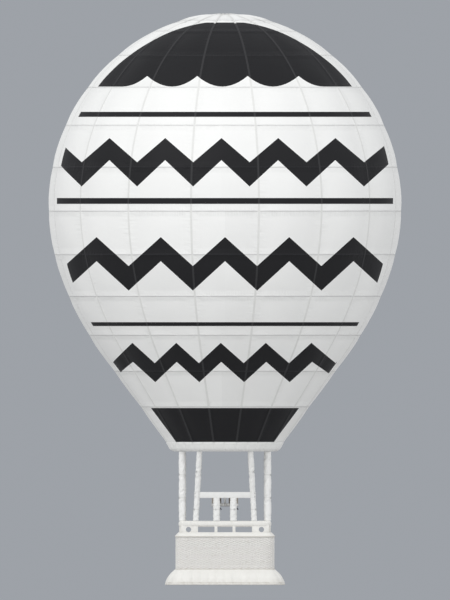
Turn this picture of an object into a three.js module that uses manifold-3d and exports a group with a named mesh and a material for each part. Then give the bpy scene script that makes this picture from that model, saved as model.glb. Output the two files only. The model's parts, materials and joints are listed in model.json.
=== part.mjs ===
// A full-size hot air balloon, in millimetres, +Z up, front towards -Y.
// The origin is the middle of the envelope's widest ring, on the balloon's upright axis.
import * as THREE from "three";
import { ParametricGeometry } from "three/addons/geometries/ParametricGeometry.js";
import { mergeVertices } from "three/addons/utils/BufferGeometryUtils.js";
import Module from "manifold-3d";

// Envelope: the dome above the widest ring, the curve below it and the straight cone under that
const RADIUS = 4412;
const CROWN_HEIGHT = 4750;
const DOME_POWER = 1.95;
const CONE_START = 3900;
const CONE_SLOPE = 0.735;
const FABRIC = 10;
const SEAM = 0.3;
const SHAPED_SEAM = 1.2;
const GORES = 16;
const COLUMN_STEP = 360 / (2 * GORES);

// Crown opening, its tapes and the vent that closes it from inside
const HOLE_RADIUS = 1250;
const VENT_RADIUS = 1330;
const VENT_STEP_RADIUS = 1185;
const CROWN_RING = { inner: 110, outer: 170, thick: 16 };
const TAPE = { width: 50, thick: 10, overlap: 70 };

// Heights of the level borders between the cloth panels
const LEVEL = {
  stripeUpper: { top: 2305, bottom: 2178 },
  stripeMiddle: { top: 150, bottom: 2 },
  stripeLower: { top: -2954, bottom: -3052 },
  skirtTop: -5100,
  mouthTop: -5950,
  mouthBottom: -6187,
};

// Scalloped lower edge of the crown, and the three zigzag bands, as seen from the front:
// pitch is the distance between teeth, corners the number of half teeth from the middle to the side,
// and turn the degrees that the band is turned by. A zigzag's two edges have a crest and a low, and
// where a third height is given it is the last corner's. The leg after it ends near the outline.
const SCALLOP = { pitch: 1262, cusp: 3200, bottom: 2935, corners: 4, turn: -1.15 };
const ZIGZAG = {
  upper: { pitch: 1412, top: [1650, 1045], bottom: [1097, 437], corners: 5, turn: -1.2 },
  middle: { pitch: 1606, top: [-826, -1550], bottom: [-1430, -2165], corners: 5, turn: 0 },
  lower: { pitch: 1120, top: [-3470, -3978], bottom: [-3947, -4455, -4367], corners: 5, turn: -1.85 },
};
const WIDEST_CORNER = 0.985;

// Mouth ring that the uprights hang from
const MOUTH = { flatInner: 1080, flatOuter: 1250, shoulder: 1345, shoulderRise: 60 };

// Basket: half width and half depth of the wicker wall, and its corner radius
const BASKET = { halfX: 1244, halfY: 900, corner: 260 };
const WALL = { bottom: -9132, top: -8205, thick: 70, chamfer: 85, collar: 260, collarDrop: 40 };
const RAIL = { top: -7922, bottom: -8072, outer: -87, inner: -260, round: 45 };
const EYE = { x: 912, radius: 66 };
const GROUND = -9525;
const FOOT_CURVE = [
  [0, 0],
  [105, 95],
  [190, 210],
  [248, 345],
  [256, 393],
];
const FLOOR = { thick: 40, ledge: 90 };
const BEARER = { width: 90, places: [-500, 0, 500] };

// Uprights, each named by its place in a quarter of the basket
const OUTER_POST = { x: 1065, y: 560, radius: 83 };
const INNER_POST = { footX: 731, headX: 637, footY: 726, headY: 1018, radius: 65 };
const SHORT_POST = { x: 210, radius: 80 };

// Load frame, gimbal and burners
const FRAME = { top: -7200, bottom: -7350, x: 697, y: 726, frontBar: 70, sideBar: 60, socket: 75 };
const GIMBAL = { x: 600, y: 340, bar: 40, corner: 60 };
const PIN = { radius: 14, clearance: 0.7, boss: 26 };
const BURNER = { x: 210, radius: 118, wall: 5, top: -7205, base: -7480 };
const BLOCK = { x: 340, y: 95, bottom: -7560 };
const YOKE = { x: 28, y: 300, top: -7240 };

// Gas cylinders in the basket's corners
const GAS = { x: 940, y: 600, radius: 150, height: 760 };

const wasm = await Module();
wasm.setup();

const balloon = new THREE.Group();
const metal = (color) => new THREE.MeshStandardMaterial({ color, roughness: 0.35, metalness: 1 });
const cloth = (color) => new THREE.MeshStandardMaterial({ color, roughness: 0.85, metalness: 0 });
const WHITE = "#f2f2ee";
const DARK = "#232325";
const WICKER = "#e4e0d6";
const LEATHER = "#ecebe5";
const WOOD = "#a87c4c";
const STEEL = "#b9bcc0";

function add(name, geometry, material, x = 0, y = 0, z = 0) {
  const mesh = new THREE.Mesh(geometry, material);
  mesh.name = name;
  mesh.position.set(x, y, z);
  balloon.add(mesh);
  return mesh;
}

// A closed geometry as a solid for joining and cutting, and back
function solid(geometry) {
  const bare = geometry.clone();
  bare.deleteAttribute("normal");
  bare.deleteAttribute("uv");
  const merged = mergeVertices(bare, 1e-3);
  const vertProperties = new Float32Array(merged.attributes.position.array);
  const triVerts = new Uint32Array(merged.index.array);
  return new wasm.Manifold(new wasm.Mesh({ numProp: 3, vertProperties, triVerts }));
}

function geometryOf(body) {
  const mesh = body.getMesh();
  const geometry = new THREE.BufferGeometry();
  geometry.setAttribute("position", new THREE.BufferAttribute(mesh.vertProperties, 3));
  geometry.setIndex(new THREE.BufferAttribute(mesh.triVerts, 1));
  return geometry;
}

function joined(pieces, cuts = []) {
  let body = solid(pieces[0]);
  for (const piece of pieces.slice(1)) body = body.add(solid(piece));
  for (const cut of cuts) body = body.subtract(solid(cut));
  return geometryOf(body);
}

// A turned solid about the Z axis: [radius, height] points, up the outside and down the inside
function turned(points, segments = 32) {
  const profile = points.map(([r, z]) => new THREE.Vector2(r, z));
  return new THREE.LatheGeometry(profile, segments).rotateX(Math.PI / 2);
}

function block(width, depth, height, x = 0, y = 0, z = 0) {
  return new THREE.BoxGeometry(width, depth, height).translate(x, y, z);
}

function rod(radius, length, axis, x = 0, y = 0, z = 0, sides = 16) {
  const geometry = new THREE.CylinderGeometry(radius, radius, length, sides);
  if (axis === "x") geometry.rotateZ(Math.PI / 2);
  if (axis === "z") geometry.rotateX(Math.PI / 2);
  return geometry.translate(x, y, z);
}

// A round post between two level faces, leaning by the difference between its foot and its head
function post(foot, head, radius, sides = 12) {
  const height = head.z - foot.z;
  const leanX = (head.x - foot.x) / height;
  const leanY = (head.y - foot.y) / height;
  const lean = new THREE.Matrix4().set(1, 0, leanX, 0, 0, 1, leanY, 0, 0, 0, 1, 0, 0, 0, 0, 1);
  const geometry = new THREE.CylinderGeometry(radius, radius, height, sides).rotateX(Math.PI / 2);
  geometry.applyMatrix4(lean);
  return geometry.translate((foot.x + head.x) / 2, (foot.y + head.y) / 2, (foot.z + head.z) / 2);
}

// A closed section of [offset, height] points carried round a rounded rectangle
function roundedRing({ halfX, halfY, corner }, section, cornerSteps = 4) {
  const columns = 4 * (cornerSteps + 1);
  const point = (u, v, target) => {
    const column = Math.round(u * columns) % columns;
    const [offset, z] = section[Math.round(v * section.length) % section.length];
    const quarter = Math.floor(column / (cornerSteps + 1));
    const step = column % (cornerSteps + 1);
    const angle = ((quarter + step / cornerSteps) * Math.PI) / 2;
    const sideX = quarter === 0 || quarter === 3 ? 1 : -1;
    const sideY = quarter < 2 ? 1 : -1;
    target.set(
      sideX * (halfX - corner) + (corner + offset) * Math.cos(angle),
      sideY * (halfY - corner) + (corner + offset) * Math.sin(angle),
      z,
    );
  };
  return new ParametricGeometry(point, columns, section.length);
}

// Radius of the envelope at a height, and height of the dome at a radius
function envelopeRadius(z) {
  if (z >= 0) return RADIUS * (1 - (z / CROWN_HEIGHT) ** DOME_POWER) ** (1 / DOME_POWER);
  const curved = Math.max(z, -CONE_START);
  return RADIUS - (CONE_SLOPE * curved ** 2) / (2 * CONE_START) + CONE_SLOPE * (z - curved);
}

function domeHeight(radius) {
  return CROWN_HEIGHT * (1 - (radius / RADIUS) ** DOME_POWER) ** (1 / DOME_POWER);
}

function wallThickness(z) {
  const slope = (envelopeRadius(z + 5) - envelopeRadius(z - 5)) / 10;
  return FABRIC * Math.hypot(1, slope);
}

// A level border is a height; a shaped one has columns. Each keeps half of the seam to its panel.
const level = (z) => ({ z, half: SEAM / 2 });
const edge = (columns) => ({ columns, half: SHAPED_SEAM / 2 });

// A border between two panels holds its columns from the front to the +X side as [azimuth, height],
// and the other three quarters mirror them
const azimuthAt = (x, z) => THREE.MathUtils.radToDeg(Math.asin(x / envelopeRadius(z)));

function allRound(quarter) {
  const last = quarter.length - 1;
  const back = quarter.slice(0, last).reverse().map(([a, z]) => [180 - a, z]);
  const left = quarter.slice(1).map(([a, z]) => [180 + a, z]);
  const front = quarter.slice(1, last).reverse().map(([a, z]) => [360 - a, z]);
  return [...quarter, ...back, ...left, ...front];
}

// Columns follow the corners as seen from the front, with more between them where the cloth turns away
const columnAt = (x, height) => ({ azimuth: azimuthAt(x, height), x, height });
const beyondWidest = (x, height) => x > WIDEST_CORNER * envelopeRadius(height);

function columnsBetween(from, to, steps) {
  const columns = [];
  for (let i = 1; i <= steps; i += 1) {
    const share = i / steps;
    const height = from.height + (to.height - from.height) * share;
    if (to.x === undefined) columns.push([from.azimuth + (to.azimuth - from.azimuth) * share, height]);
    else columns.push([azimuthAt(from.x + (to.x - from.x) * share, height), height]);
  }
  return columns;
}

function stepsBetween(edges, i) {
  const turns = edges.map((corners) => corners[i + 1].azimuth - corners[i].azimuth);
  return Math.ceil(Math.max(...turns) / COLUMN_STEP);
}

function edgesThrough(edges, turn) {
  return edges.map((corners) => {
    const quarter = [[corners[0].azimuth, corners[0].height]];
    for (let i = 0; i < corners.length - 1; i += 1) {
      quarter.push(...columnsBetween(corners[i], corners[i + 1], stepsBetween(edges, i)));
    }
    return edge(allRound(quarter).map(([azimuth, height]) => [azimuth + turn, height]));
  });
}

// Where a leg that runs straight, as seen from the front, comes close to the outline
function legEnd(from, to) {
  const along = (share) => [from.x + (to.x - from.x) * share, from.height + (to.height - from.height) * share];
  let [inside, outside] = [0, 1];
  for (let i = 0; i < 40; i += 1) {
    const share = (inside + outside) / 2;
    if (beyondWidest(...along(share))) outside = share;
    else inside = share;
  }
  return columnAt(...along(inside));
}

// From the last leg's end the edge goes level to the side, where the cloth is all one colour
function zigzagEdge([crest, low, last = low], pitch, corners) {
  const list = [columnAt(0, crest)];
  for (let half = 1; half <= corners + 1; half += 1) {
    const x = (half * pitch) / 2;
    const turnedHeight = half % 2 === 0 ? crest : low;
    const height = half === corners ? last : turnedHeight;
    if (beyondWidest(x, height)) {
      list.push(legEnd(list[list.length - 1], { x, height }));
      break;
    }
    list.push(columnAt(x, height));
  }
  while (list.length < corners + 2) {
    const { azimuth, height } = list[list.length - 1];
    list.push({ azimuth: (azimuth + 90) / 2, height });
  }
  return [...list, { azimuth: 90, height: list[list.length - 1].height }];
}

function zigzagEdges({ pitch, top, bottom, corners, turn }) {
  const edges = [top, bottom].map((heights) => zigzagEdge(heights, pitch, corners));
  const [topEdge, bottomEdge] = edgesThrough(edges, turn);
  return { top: topEdge, bottom: bottomEdge };
}

function scallopEdge({ pitch, cusp, bottom, corners, turn }) {
  const list = [];
  for (let quarterTooth = 0; quarterTooth <= 2 * corners; quarterTooth += 1) {
    const fromBottom = Math.abs(((quarterTooth / 2 + 1) % 2) - 1);
    list.push(columnAt((quarterTooth * pitch) / 4, bottom + (cusp - bottom) * fromBottom ** 2));
  }
  return edgesThrough([[...list, { azimuth: 90, height: bottom }]], turn)[0];
}

// Splits each quad a, b, c, d along its shorter diagonal, so that the inner wall is split as the
// outer one is and the cloth keeps its thickness. It comes as the triangles a, b, d and b, c, d.
const TIE = 0.5;

function splitAlike(geometry) {
  const index = geometry.getIndex();
  const position = geometry.getAttribute("position");
  const corner = (i) => new THREE.Vector3().fromBufferAttribute(position, i);
  const across = (i, k) => corner(i).distanceTo(corner(k));
  for (let first = 0; first < index.count; first += 6) {
    const [a, b, d, c] = [0, 1, 2, 4].map((k) => index.getX(first + k));
    if (across(a, c) < across(b, d) - TIE) {
      [a, b, c, a, c, d].forEach((i, k) => index.setX(first + k, i));
    }
  }
  return geometry;
}

// The ring of cloth between two borders
function clothRing(lower, upper, rows) {
  const plain = [];
  for (let a = 0; a < 360; a += COLUMN_STEP) plain.push([a, 0]);
  const shaped = lower.columns || upper.columns || plain;
  const low = lower.columns || shaped.map(([a]) => [a, lower.z]);
  const high = upper.columns || shaped.map(([a]) => [a, upper.z]);
  const around = shaped.length;
  const section = 2 * (rows + 1);
  const point = (u, v, target) => {
    const column = Math.round(u * around) % around;
    const stage = Math.round(v * section) % section;
    const outside = stage <= rows;
    const row = outside ? stage : section - 1 - stage;
    const share = row / rows;
    const azimuth = THREE.MathUtils.degToRad(low[column][0] + (high[column][0] - low[column][0]) * share);
    const bottom = low[column][1] + lower.half;
    const top = high[column][1] - upper.half;
    const z = bottom + (top - bottom) * share;
    const radius = envelopeRadius(z) - (outside ? 0 : wallThickness(z));
    target.set(radius * Math.sin(azimuth), -radius * Math.cos(azimuth), z);
  };
  return splitAlike(new ParametricGeometry(point, around, section));
}

// Envelope panels from the crown down to the skirt
const holeHeight = domeHeight(HOLE_RADIUS);
const scallop = scallopEdge(SCALLOP);
const upper = zigzagEdges(ZIGZAG.upper);
const middle = zigzagEdges(ZIGZAG.middle);
const lower = zigzagEdges(ZIGZAG.lower);
const { stripeUpper, stripeMiddle, stripeLower } = LEVEL;
const PANELS = [
  { name: "crown_panel", bottom: scallop, top: level(holeHeight), rows: 6, color: DARK },
  { name: "shoulder_panel", bottom: level(stripeUpper.top), top: scallop, rows: 2, color: WHITE },
  { name: "stripe_upper", bottom: level(stripeUpper.bottom), top: level(stripeUpper.top), rows: 1, color: DARK },
  { name: "panel_above_zigzag_upper", bottom: upper.top, top: level(stripeUpper.bottom), rows: 2, color: WHITE },
  { name: "zigzag_upper", bottom: upper.bottom, top: upper.top, rows: 2, color: DARK },
  { name: "panel_below_zigzag_upper", bottom: level(stripeMiddle.top), top: upper.bottom, rows: 1, color: WHITE },
  { name: "stripe_middle", bottom: level(stripeMiddle.bottom), top: level(stripeMiddle.top), rows: 1, color: DARK },
  { name: "panel_above_zigzag_middle", bottom: middle.top, top: level(stripeMiddle.bottom), rows: 2, color: WHITE },
  { name: "zigzag_middle", bottom: middle.bottom, top: middle.top, rows: 2, color: DARK },
  { name: "panel_below_zigzag_middle", bottom: level(stripeLower.top), top: middle.bottom, rows: 2, color: WHITE },
  { name: "stripe_lower", bottom: level(stripeLower.bottom), top: level(stripeLower.top), rows: 1, color: DARK },
  { name: "panel_above_zigzag_lower", bottom: lower.top, top: level(stripeLower.bottom), rows: 1, color: WHITE },
  { name: "zigzag_lower", bottom: lower.bottom, top: lower.top, rows: 1, color: DARK },
  { name: "panel_below_zigzag_lower", bottom: level(LEVEL.skirtTop), top: lower.bottom, rows: 1, color: WHITE },
  { name: "skirt", bottom: level(LEVEL.mouthTop), top: level(LEVEL.skirtTop), rows: 1, color: DARK },
];
for (const { name, bottom, top, rows, color } of PANELS) {
  add(name, clothRing(bottom, top, rows), cloth(color));
}

// Crown ring with the load tapes that cross the opening, lying on the dome
function crownTapes() {
  const { inner, outer, thick } = CROWN_RING;
  const ringBottom = domeHeight(outer);
  const pieces = [
    turned([
      [inner, ringBottom],
      [outer, ringBottom],
      [outer, ringBottom + thick],
      [inner, ringBottom + thick],
      [inner, ringBottom],
    ]),
  ];
  const overEdge = HOLE_RADIUS + TAPE.overlap;
  const stations = [outer - 20, 600, 1000, VENT_STEP_RADIUS, HOLE_RADIUS, overEdge];
  for (let tape = 0; tape < GORES; tape += 1) {
    const outline = new THREE.Shape();
    stations.forEach((r, i) => {
      const z = Math.min(domeHeight(r), ringBottom) + SEAM;
      return i ? outline.lineTo(r, z) : outline.moveTo(r, z);
    });
    [...stations].reverse().forEach((r) => {
      outline.lineTo(r, Math.min(domeHeight(r), ringBottom) + TAPE.thick);
    });
    const strip = new THREE.ExtrudeGeometry(outline, { depth: TAPE.width, bevelEnabled: false });
    strip.translate(0, 0, -TAPE.width / 2).rotateX(Math.PI / 2);
    strip.rotateZ(THREE.MathUtils.degToRad(((tape + 0.5) * 360) / GORES));
    pieces.push(strip);
  }
  return joined(pieces);
}
add("crown_ring_tapes", crownTapes(), cloth(WHITE));

// Parachute vent: lies against the tapes and, round its edge, under the crown panel
function parachuteVent() {
  const radii = [0, 150, 600, 1000, VENT_STEP_RADIUS];
  const top = radii.map((r) => [r, Math.min(domeHeight(r), domeHeight(CROWN_RING.outer)) - 0.3]);
  top.push([VENT_STEP_RADIUS + 20, holeHeight - 6]);
  top.push([VENT_RADIUS, holeHeight - 52]);
  const under = top.map(([r, z]) => [r, z - FABRIC]);
  return turned([...under, ...top.reverse()]);
}
add("parachute_vent", parachuteVent(), cloth(WHITE));

// Mouth ring: a stiff padded band with a flat underside
function mouthRing() {
  const top = LEVEL.mouthTop - SEAM / 2;
  const outer = envelopeRadius(LEVEL.mouthTop);
  const { flatInner, flatOuter, shoulder, shoulderRise } = MOUTH;
  return turned([
    [flatInner, LEVEL.mouthBottom],
    [flatOuter, LEVEL.mouthBottom],
    [shoulder, LEVEL.mouthBottom + shoulderRise],
    [outer, top],
    [outer - 60, top],
    [flatInner, LEVEL.mouthBottom + shoulderRise],
    [flatInner, LEVEL.mouthBottom],
  ]);
}
add("mouth_ring", mouthRing(), cloth(WHITE));

// The quarters of the basket, by the signs of X and Y
const QUARTERS = [
  { place: "front_left", x: -1, y: -1 },
  { place: "front_right", x: 1, y: -1 },
  { place: "back_left", x: -1, y: 1 },
  { place: "back_right", x: 1, y: 1 },
];

// Uprights: outer posts to the mouth ring, frame posts to the load frame, risers above it
const postHeadZ = LEVEL.mouthBottom - SEAM;
const postFootZ = RAIL.top + SEAM;
const innerShare = (z) => (z - RAIL.top) / (LEVEL.mouthBottom - RAIL.top);
const innerX = (z) => INNER_POST.footX + (INNER_POST.headX - INNER_POST.footX) * innerShare(z);
for (const { place, x, y } of QUARTERS) {
  const outer = { x: x * OUTER_POST.x, y: y * OUTER_POST.y };
  add(
    `outer_post_${place}`,
    post({ ...outer, z: postFootZ }, { ...outer, z: postHeadZ }, OUTER_POST.radius),
    cloth(WHITE),
  );
  const frameBottom = FRAME.bottom - SEAM;
  const frameTop = FRAME.top + SEAM;
  const foot = { x: x * innerX(postFootZ), y: y * FRAME.y, z: postFootZ };
  const knee = { x: x * innerX(frameBottom), y: y * FRAME.y, z: frameBottom };
  add(`frame_post_${place}`, post(foot, knee, INNER_POST.radius), cloth(WHITE));
  const hip = { x: x * innerX(frameTop), y: y * FRAME.y, z: frameTop };
  const head = { x: x * INNER_POST.headX, y: y * INNER_POST.headY, z: postHeadZ };
  add(`riser_${place}`, post(hip, head, INNER_POST.radius), cloth(WHITE));
  const short = { x: x * SHORT_POST.x, y: y * FRAME.y };
  add(
    `short_post_${place}`,
    post({ ...short, z: postFootZ }, { ...short, z: frameBottom }, SHORT_POST.radius),
    cloth(WHITE),
  );
}

// Load frame: four bars, a socket at each corner and a bearing in each side bar
const pivotZ = (FRAME.top + FRAME.bottom) / 2;
function loadFrame() {
  const height = FRAME.top - FRAME.bottom;
  const pieces = [];
  const cuts = [];
  for (const side of [-1, 1]) {
    pieces.push(block(2 * FRAME.x, FRAME.frontBar, height, 0, side * FRAME.y, pivotZ));
    pieces.push(block(FRAME.sideBar, 2 * FRAME.y, height, side * FRAME.x, 0, pivotZ));
    for (const end of [-1, 1]) {
      pieces.push(rod(FRAME.socket, height, "z", side * FRAME.x, end * FRAME.y, pivotZ));
    }
    cuts.push(rod(PIN.radius + PIN.clearance, 2 * FRAME.sideBar, "x", side * FRAME.x, 0, pivotZ));
  }
  return joined(pieces, cuts);
}
add("load_frame", loadFrame(), metal(STEEL));

// Gimbal frame: tilts about X on its own two pins and carries the burner's two bearings
function gimbalFrame() {
  const { x, y, bar, corner } = GIMBAL;
  const half = bar / 2;
  const section = [
    [-half, pivotZ - half],
    [half, pivotZ - half],
    [half, pivotZ + half],
    [-half, pivotZ + half],
  ];
  const pieces = [roundedRing({ halfX: x, halfY: y, corner }, section)];
  const cuts = [];
  const reach = FRAME.x + FRAME.sideBar / 2 + 10 - x;
  const collar = FRAME.x - FRAME.sideBar / 2 - 6 - x;
  for (const side of [-1, 1]) {
    pieces.push(rod(PIN.radius, reach, "x", side * (x + reach / 2), 0, pivotZ));
    pieces.push(rod(PIN.boss, collar, "x", side * (x + collar / 2), 0, pivotZ));
    cuts.push(rod(PIN.radius + PIN.clearance, 2 * bar, "y", 0, side * y, pivotZ));
  }
  return joined(pieces, cuts);
}
add("gimbal_frame", gimbalFrame(), metal(STEEL));

// Burner block: the yoke between the cans, its two pins and the valve block underneath
function burnerBlock() {
  const yokeHeight = YOKE.top - BURNER.base;
  const pinReach = GIMBAL.y + GIMBAL.bar / 2 + 6 - YOKE.y;
  const pieces = [
    block(2 * BLOCK.x, 2 * BLOCK.y, BURNER.base - BLOCK.bottom, 0, 0, (BURNER.base + BLOCK.bottom) / 2),
    block(2 * YOKE.x, 2 * YOKE.y, yokeHeight + 1, 0, 0, (YOKE.top + BURNER.base - 1) / 2),
  ];
  for (const side of [-1, 1]) {
    pieces.push(rod(PIN.radius, pinReach + 2, "y", 0, side * (YOKE.y + pinReach / 2 - 1), pivotZ));
    for (const end of [-1, 1]) {
      pieces.push(rod(32, 70, "z", side * 260, end * 40, BLOCK.bottom - 30, 12));
    }
  }
  return joined(pieces);
}
add("burner_block", burnerBlock(), metal(STEEL));

for (const [place, side] of [["left", -1], ["right", 1]]) {
  const base = BURNER.base + SEAM;
  const { radius, wall, top } = BURNER;
  const can = turned([
    [0, base],
    [radius, base],
    [radius, top],
    [radius - wall, top],
    [radius - wall, base + 2 * wall],
    [0, base + 2 * wall],
  ]);
  add(`burner_can_${place}`, can, metal(STEEL), side * BURNER.x);
}

// Top rail: a padded ring on feet, with the slots of the drawing between the feet
function topRail() {
  const { top, bottom, outer, inner, round } = RAIL;
  const section = [
    [inner + round, bottom],
    [outer - round, bottom],
    [outer, bottom + round],
    [outer, top - round],
    [outer - round / 2, top],
    [inner + round / 2, top],
    [inner, top - round],
    [inner, bottom + round],
  ];
  const pieces = [roundedRing(BASKET, section)];
  const cuts = [];
  const gap = bottom - WALL.top - SEAM;
  const footZ = (bottom + WALL.top + SEAM) / 2;
  const footHeight = gap + 2 * round;
  const raised = footZ + round;
  const railDepth = outer - inner - 30;
  for (const { x, y } of QUARTERS) {
    const railY = y * FRAME.y;
    pieces.push(block(430, railDepth, footHeight, x * 890, railY, raised));
    pieces.push(block(75, railDepth, footHeight, x * 225, railY, raised));
    pieces.push(block(70, 200, footHeight, x * 1110, y * 560, raised));
    cuts.push(rod(EYE.radius, 400, "y", x * EYE.x, railY, footZ));
  }
  for (const x of [-1, 1]) pieces.push(block(70, 200, footHeight, x * 1110, 0, raised));
  return joined(pieces, cuts);
}
add("top_rail", topRail(), cloth(LEATHER));

// Wicker wall with its chamfered collar
function wickerWall() {
  const { bottom, top, thick, chamfer, collar, collarDrop } = WALL;
  return roundedRing(BASKET, [
    [-thick, bottom],
    [0, bottom],
    [0, top - chamfer],
    [-chamfer, top],
    [-collar, top],
    [-collar, top - collarDrop],
    [-thick, top - collarDrop - (collar - thick)],
  ]);
}
add("wicker_wall", wickerWall(), cloth(WICKER));

// Flared foot round the bottom of the basket, with the ledge that the floor lies on
function flaredFoot() {
  const top = WALL.bottom - SEAM;
  const curve = FOOT_CURVE.map(([out, down]) => [out, top - down]).reverse();
  curve[0][1] = GROUND;
  const ledgeTop = top - FLOOR.thick;
  return roundedRing(BASKET, [
    [-WALL.thick - FLOOR.ledge, GROUND],
    ...curve,
    [-WALL.thick, top],
    [-WALL.thick, ledgeTop],
    [-WALL.thick - FLOOR.ledge, ledgeTop],
  ]);
}
add("flared_foot", flaredFoot(), cloth(LEATHER));

// Floor board, and the bearers that carry it
function floorBoard() {
  const inset = WALL.thick + SEAM;
  const { halfX, halfY, corner } = BASKET;
  const reachX = halfX - inset;
  const reachY = halfY - inset;
  const round = corner - inset;
  const outline = new THREE.Shape();
  outline.moveTo(reachX, reachY - round);
  outline.absarc(reachX - round, reachY - round, round, 0, Math.PI / 2);
  outline.absarc(round - reachX, reachY - round, round, Math.PI / 2, Math.PI);
  outline.absarc(round - reachX, round - reachY, round, Math.PI, 1.5 * Math.PI);
  outline.absarc(reachX - round, round - reachY, round, 1.5 * Math.PI, 2 * Math.PI);
  const depth = FLOOR.thick - SEAM;
  return new THREE.ExtrudeGeometry(outline, { depth, bevelEnabled: false, curveSegments: 2 });
}
add("floor", floorBoard(), cloth(WOOD), 0, 0, WALL.bottom - FLOOR.thick);

BEARER.places.forEach((y, i) => {
  const reach = BASKET.halfX - WALL.thick - FLOOR.ledge - SEAM;
  const top = WALL.bottom - FLOOR.thick - SEAM;
  const geometry = block(2 * reach, BEARER.width, top - GROUND, 0, y, (top + GROUND) / 2);
  add(`floor_bearer_${i + 1}`, geometry, cloth(WOOD));
});

// Gas cylinders with domed shoulders and a valve collar
for (const { place, x, y } of QUARTERS) {
  const base = WALL.bottom + SEAM;
  const { radius, height } = GAS;
  const cylinder = turned(
    [
      [0, base],
      [radius, base],
      [radius, base + height - 90],
      [radius * 0.75, base + height - 25],
      [radius * 0.6, base + height],
      [radius * 0.6, base + height + 70],
      [0, base + height + 70],
    ],
    20,
  );
  add(`gas_cylinder_${place}`, cylinder, metal(STEEL), x * GAS.x, y * GAS.y);
}

export default balloon;
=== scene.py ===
# %% [markdown]
# A hot air balloon, dressed. The solids come first as a fixed frame, in metres, +Z up, with the
# origin in the middle of the envelope's widest ring. Every piece made here is built where its
# solid stands, so nothing is moved into place afterwards.

# %% The frame
import bisect
import bpy
import json
import math
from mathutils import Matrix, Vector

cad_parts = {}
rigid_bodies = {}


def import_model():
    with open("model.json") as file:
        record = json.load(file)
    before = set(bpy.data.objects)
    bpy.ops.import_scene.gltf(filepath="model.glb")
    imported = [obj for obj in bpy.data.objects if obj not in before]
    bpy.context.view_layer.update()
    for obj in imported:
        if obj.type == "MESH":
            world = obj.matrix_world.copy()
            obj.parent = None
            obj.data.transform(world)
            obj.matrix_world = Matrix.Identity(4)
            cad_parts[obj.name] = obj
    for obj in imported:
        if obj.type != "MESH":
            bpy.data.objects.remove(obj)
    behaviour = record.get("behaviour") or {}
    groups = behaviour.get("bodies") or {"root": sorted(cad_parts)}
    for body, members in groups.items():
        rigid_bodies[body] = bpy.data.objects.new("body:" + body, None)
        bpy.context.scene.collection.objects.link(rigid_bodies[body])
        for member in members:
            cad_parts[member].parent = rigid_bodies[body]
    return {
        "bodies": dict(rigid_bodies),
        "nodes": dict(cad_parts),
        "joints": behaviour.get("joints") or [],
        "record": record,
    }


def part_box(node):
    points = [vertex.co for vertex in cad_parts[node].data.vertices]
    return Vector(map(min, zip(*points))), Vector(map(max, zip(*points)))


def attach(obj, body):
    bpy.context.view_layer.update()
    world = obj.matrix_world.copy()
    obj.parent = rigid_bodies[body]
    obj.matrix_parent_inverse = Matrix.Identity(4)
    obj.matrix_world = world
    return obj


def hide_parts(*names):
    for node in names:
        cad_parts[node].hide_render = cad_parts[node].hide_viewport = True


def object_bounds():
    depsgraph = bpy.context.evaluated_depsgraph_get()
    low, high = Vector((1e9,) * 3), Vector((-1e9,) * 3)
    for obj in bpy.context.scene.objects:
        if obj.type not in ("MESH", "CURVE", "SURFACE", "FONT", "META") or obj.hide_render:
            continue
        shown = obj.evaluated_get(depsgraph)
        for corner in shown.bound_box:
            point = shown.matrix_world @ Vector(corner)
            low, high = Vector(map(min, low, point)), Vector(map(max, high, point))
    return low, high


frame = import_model()
cad_bounds = [list(corner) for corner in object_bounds()]
print("solids:", len(frame["nodes"]), "bounds:", cad_bounds)

# %% [markdown]
# The camera looks square at the front. A parallel view keeps the level stripes level, as they are
# drawn, where a lens would bend them over the round cloth.

# %% The camera
PIXEL = 0.025
FRAME_PIXELS = (450, 600)
WIDEST_RING_PIXEL = 204
VIEW_CENTRE_Z = (WIDEST_RING_PIXEL - FRAME_PIXELS[1] / 2) * PIXEL
CAMERA_DISTANCE = 60

camera_data = bpy.data.cameras.new("camera")
camera_data.type = "ORTHO"
camera_data.ortho_scale = FRAME_PIXELS[1] * PIXEL
camera_data.clip_end = 400
camera = bpy.data.objects.new("camera", camera_data)
camera.location = (0, -CAMERA_DISTANCE, VIEW_CENTRE_Z)
camera.rotation_euler = (math.radians(90), 0, 0)
bpy.context.scene.collection.objects.link(camera)
bpy.context.scene.camera = camera
print("camera height:", VIEW_CENTRE_Z)

# %% [markdown]
# Soft light from one side, weaker lights from the other side and the front, and a bright even
# world, because the drawn cloth is white all over. What is seen of the world is a darker grey, so
# that the white envelope still has an outline: the Light Path node tells the two apart.

# %% The light and the floor
AMBIENT_COLOR = (0.69, 0.7, 0.72)
BACKDROP_COLOR = (0.34, 0.36, 0.39)
FLOOR_SIZE = 120
FLOOR_GAP = 0.002
SUNS = [
    {"name": "key_light", "turn": (52, 0, -38), "strength": 1.0, "angle": 40},
    {"name": "fill_light", "turn": (68, 0, 55), "strength": 0.45, "angle": 70},
    {"name": "front_light", "turn": (96, 0, -8), "strength": 0.6, "angle": 60},
]


def add_world():
    world = bpy.data.worlds.new("studio")
    world.use_nodes = True
    tree = world.node_tree
    seen = tree.nodes.new("ShaderNodeLightPath").outputs["Is Camera Ray"]
    choice = tree.nodes.new("ShaderNodeMix")
    choice.data_type = "RGBA"
    choice.inputs[6].default_value = (*AMBIENT_COLOR, 1)
    choice.inputs[7].default_value = (*BACKDROP_COLOR, 1)
    tree.links.new(seen, choice.inputs[0])
    tree.links.new(choice.outputs[2], tree.nodes["Background"].inputs["Color"])
    bpy.context.scene.world = world


def add_sun(name, turn, strength, angle):
    data = bpy.data.lights.new(name, "SUN")
    data.energy = strength
    data.angle = math.radians(angle)
    sun = bpy.data.objects.new(name, data)
    sun.rotation_euler = [math.radians(a) for a in turn]
    bpy.context.scene.collection.objects.link(sun)


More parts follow.
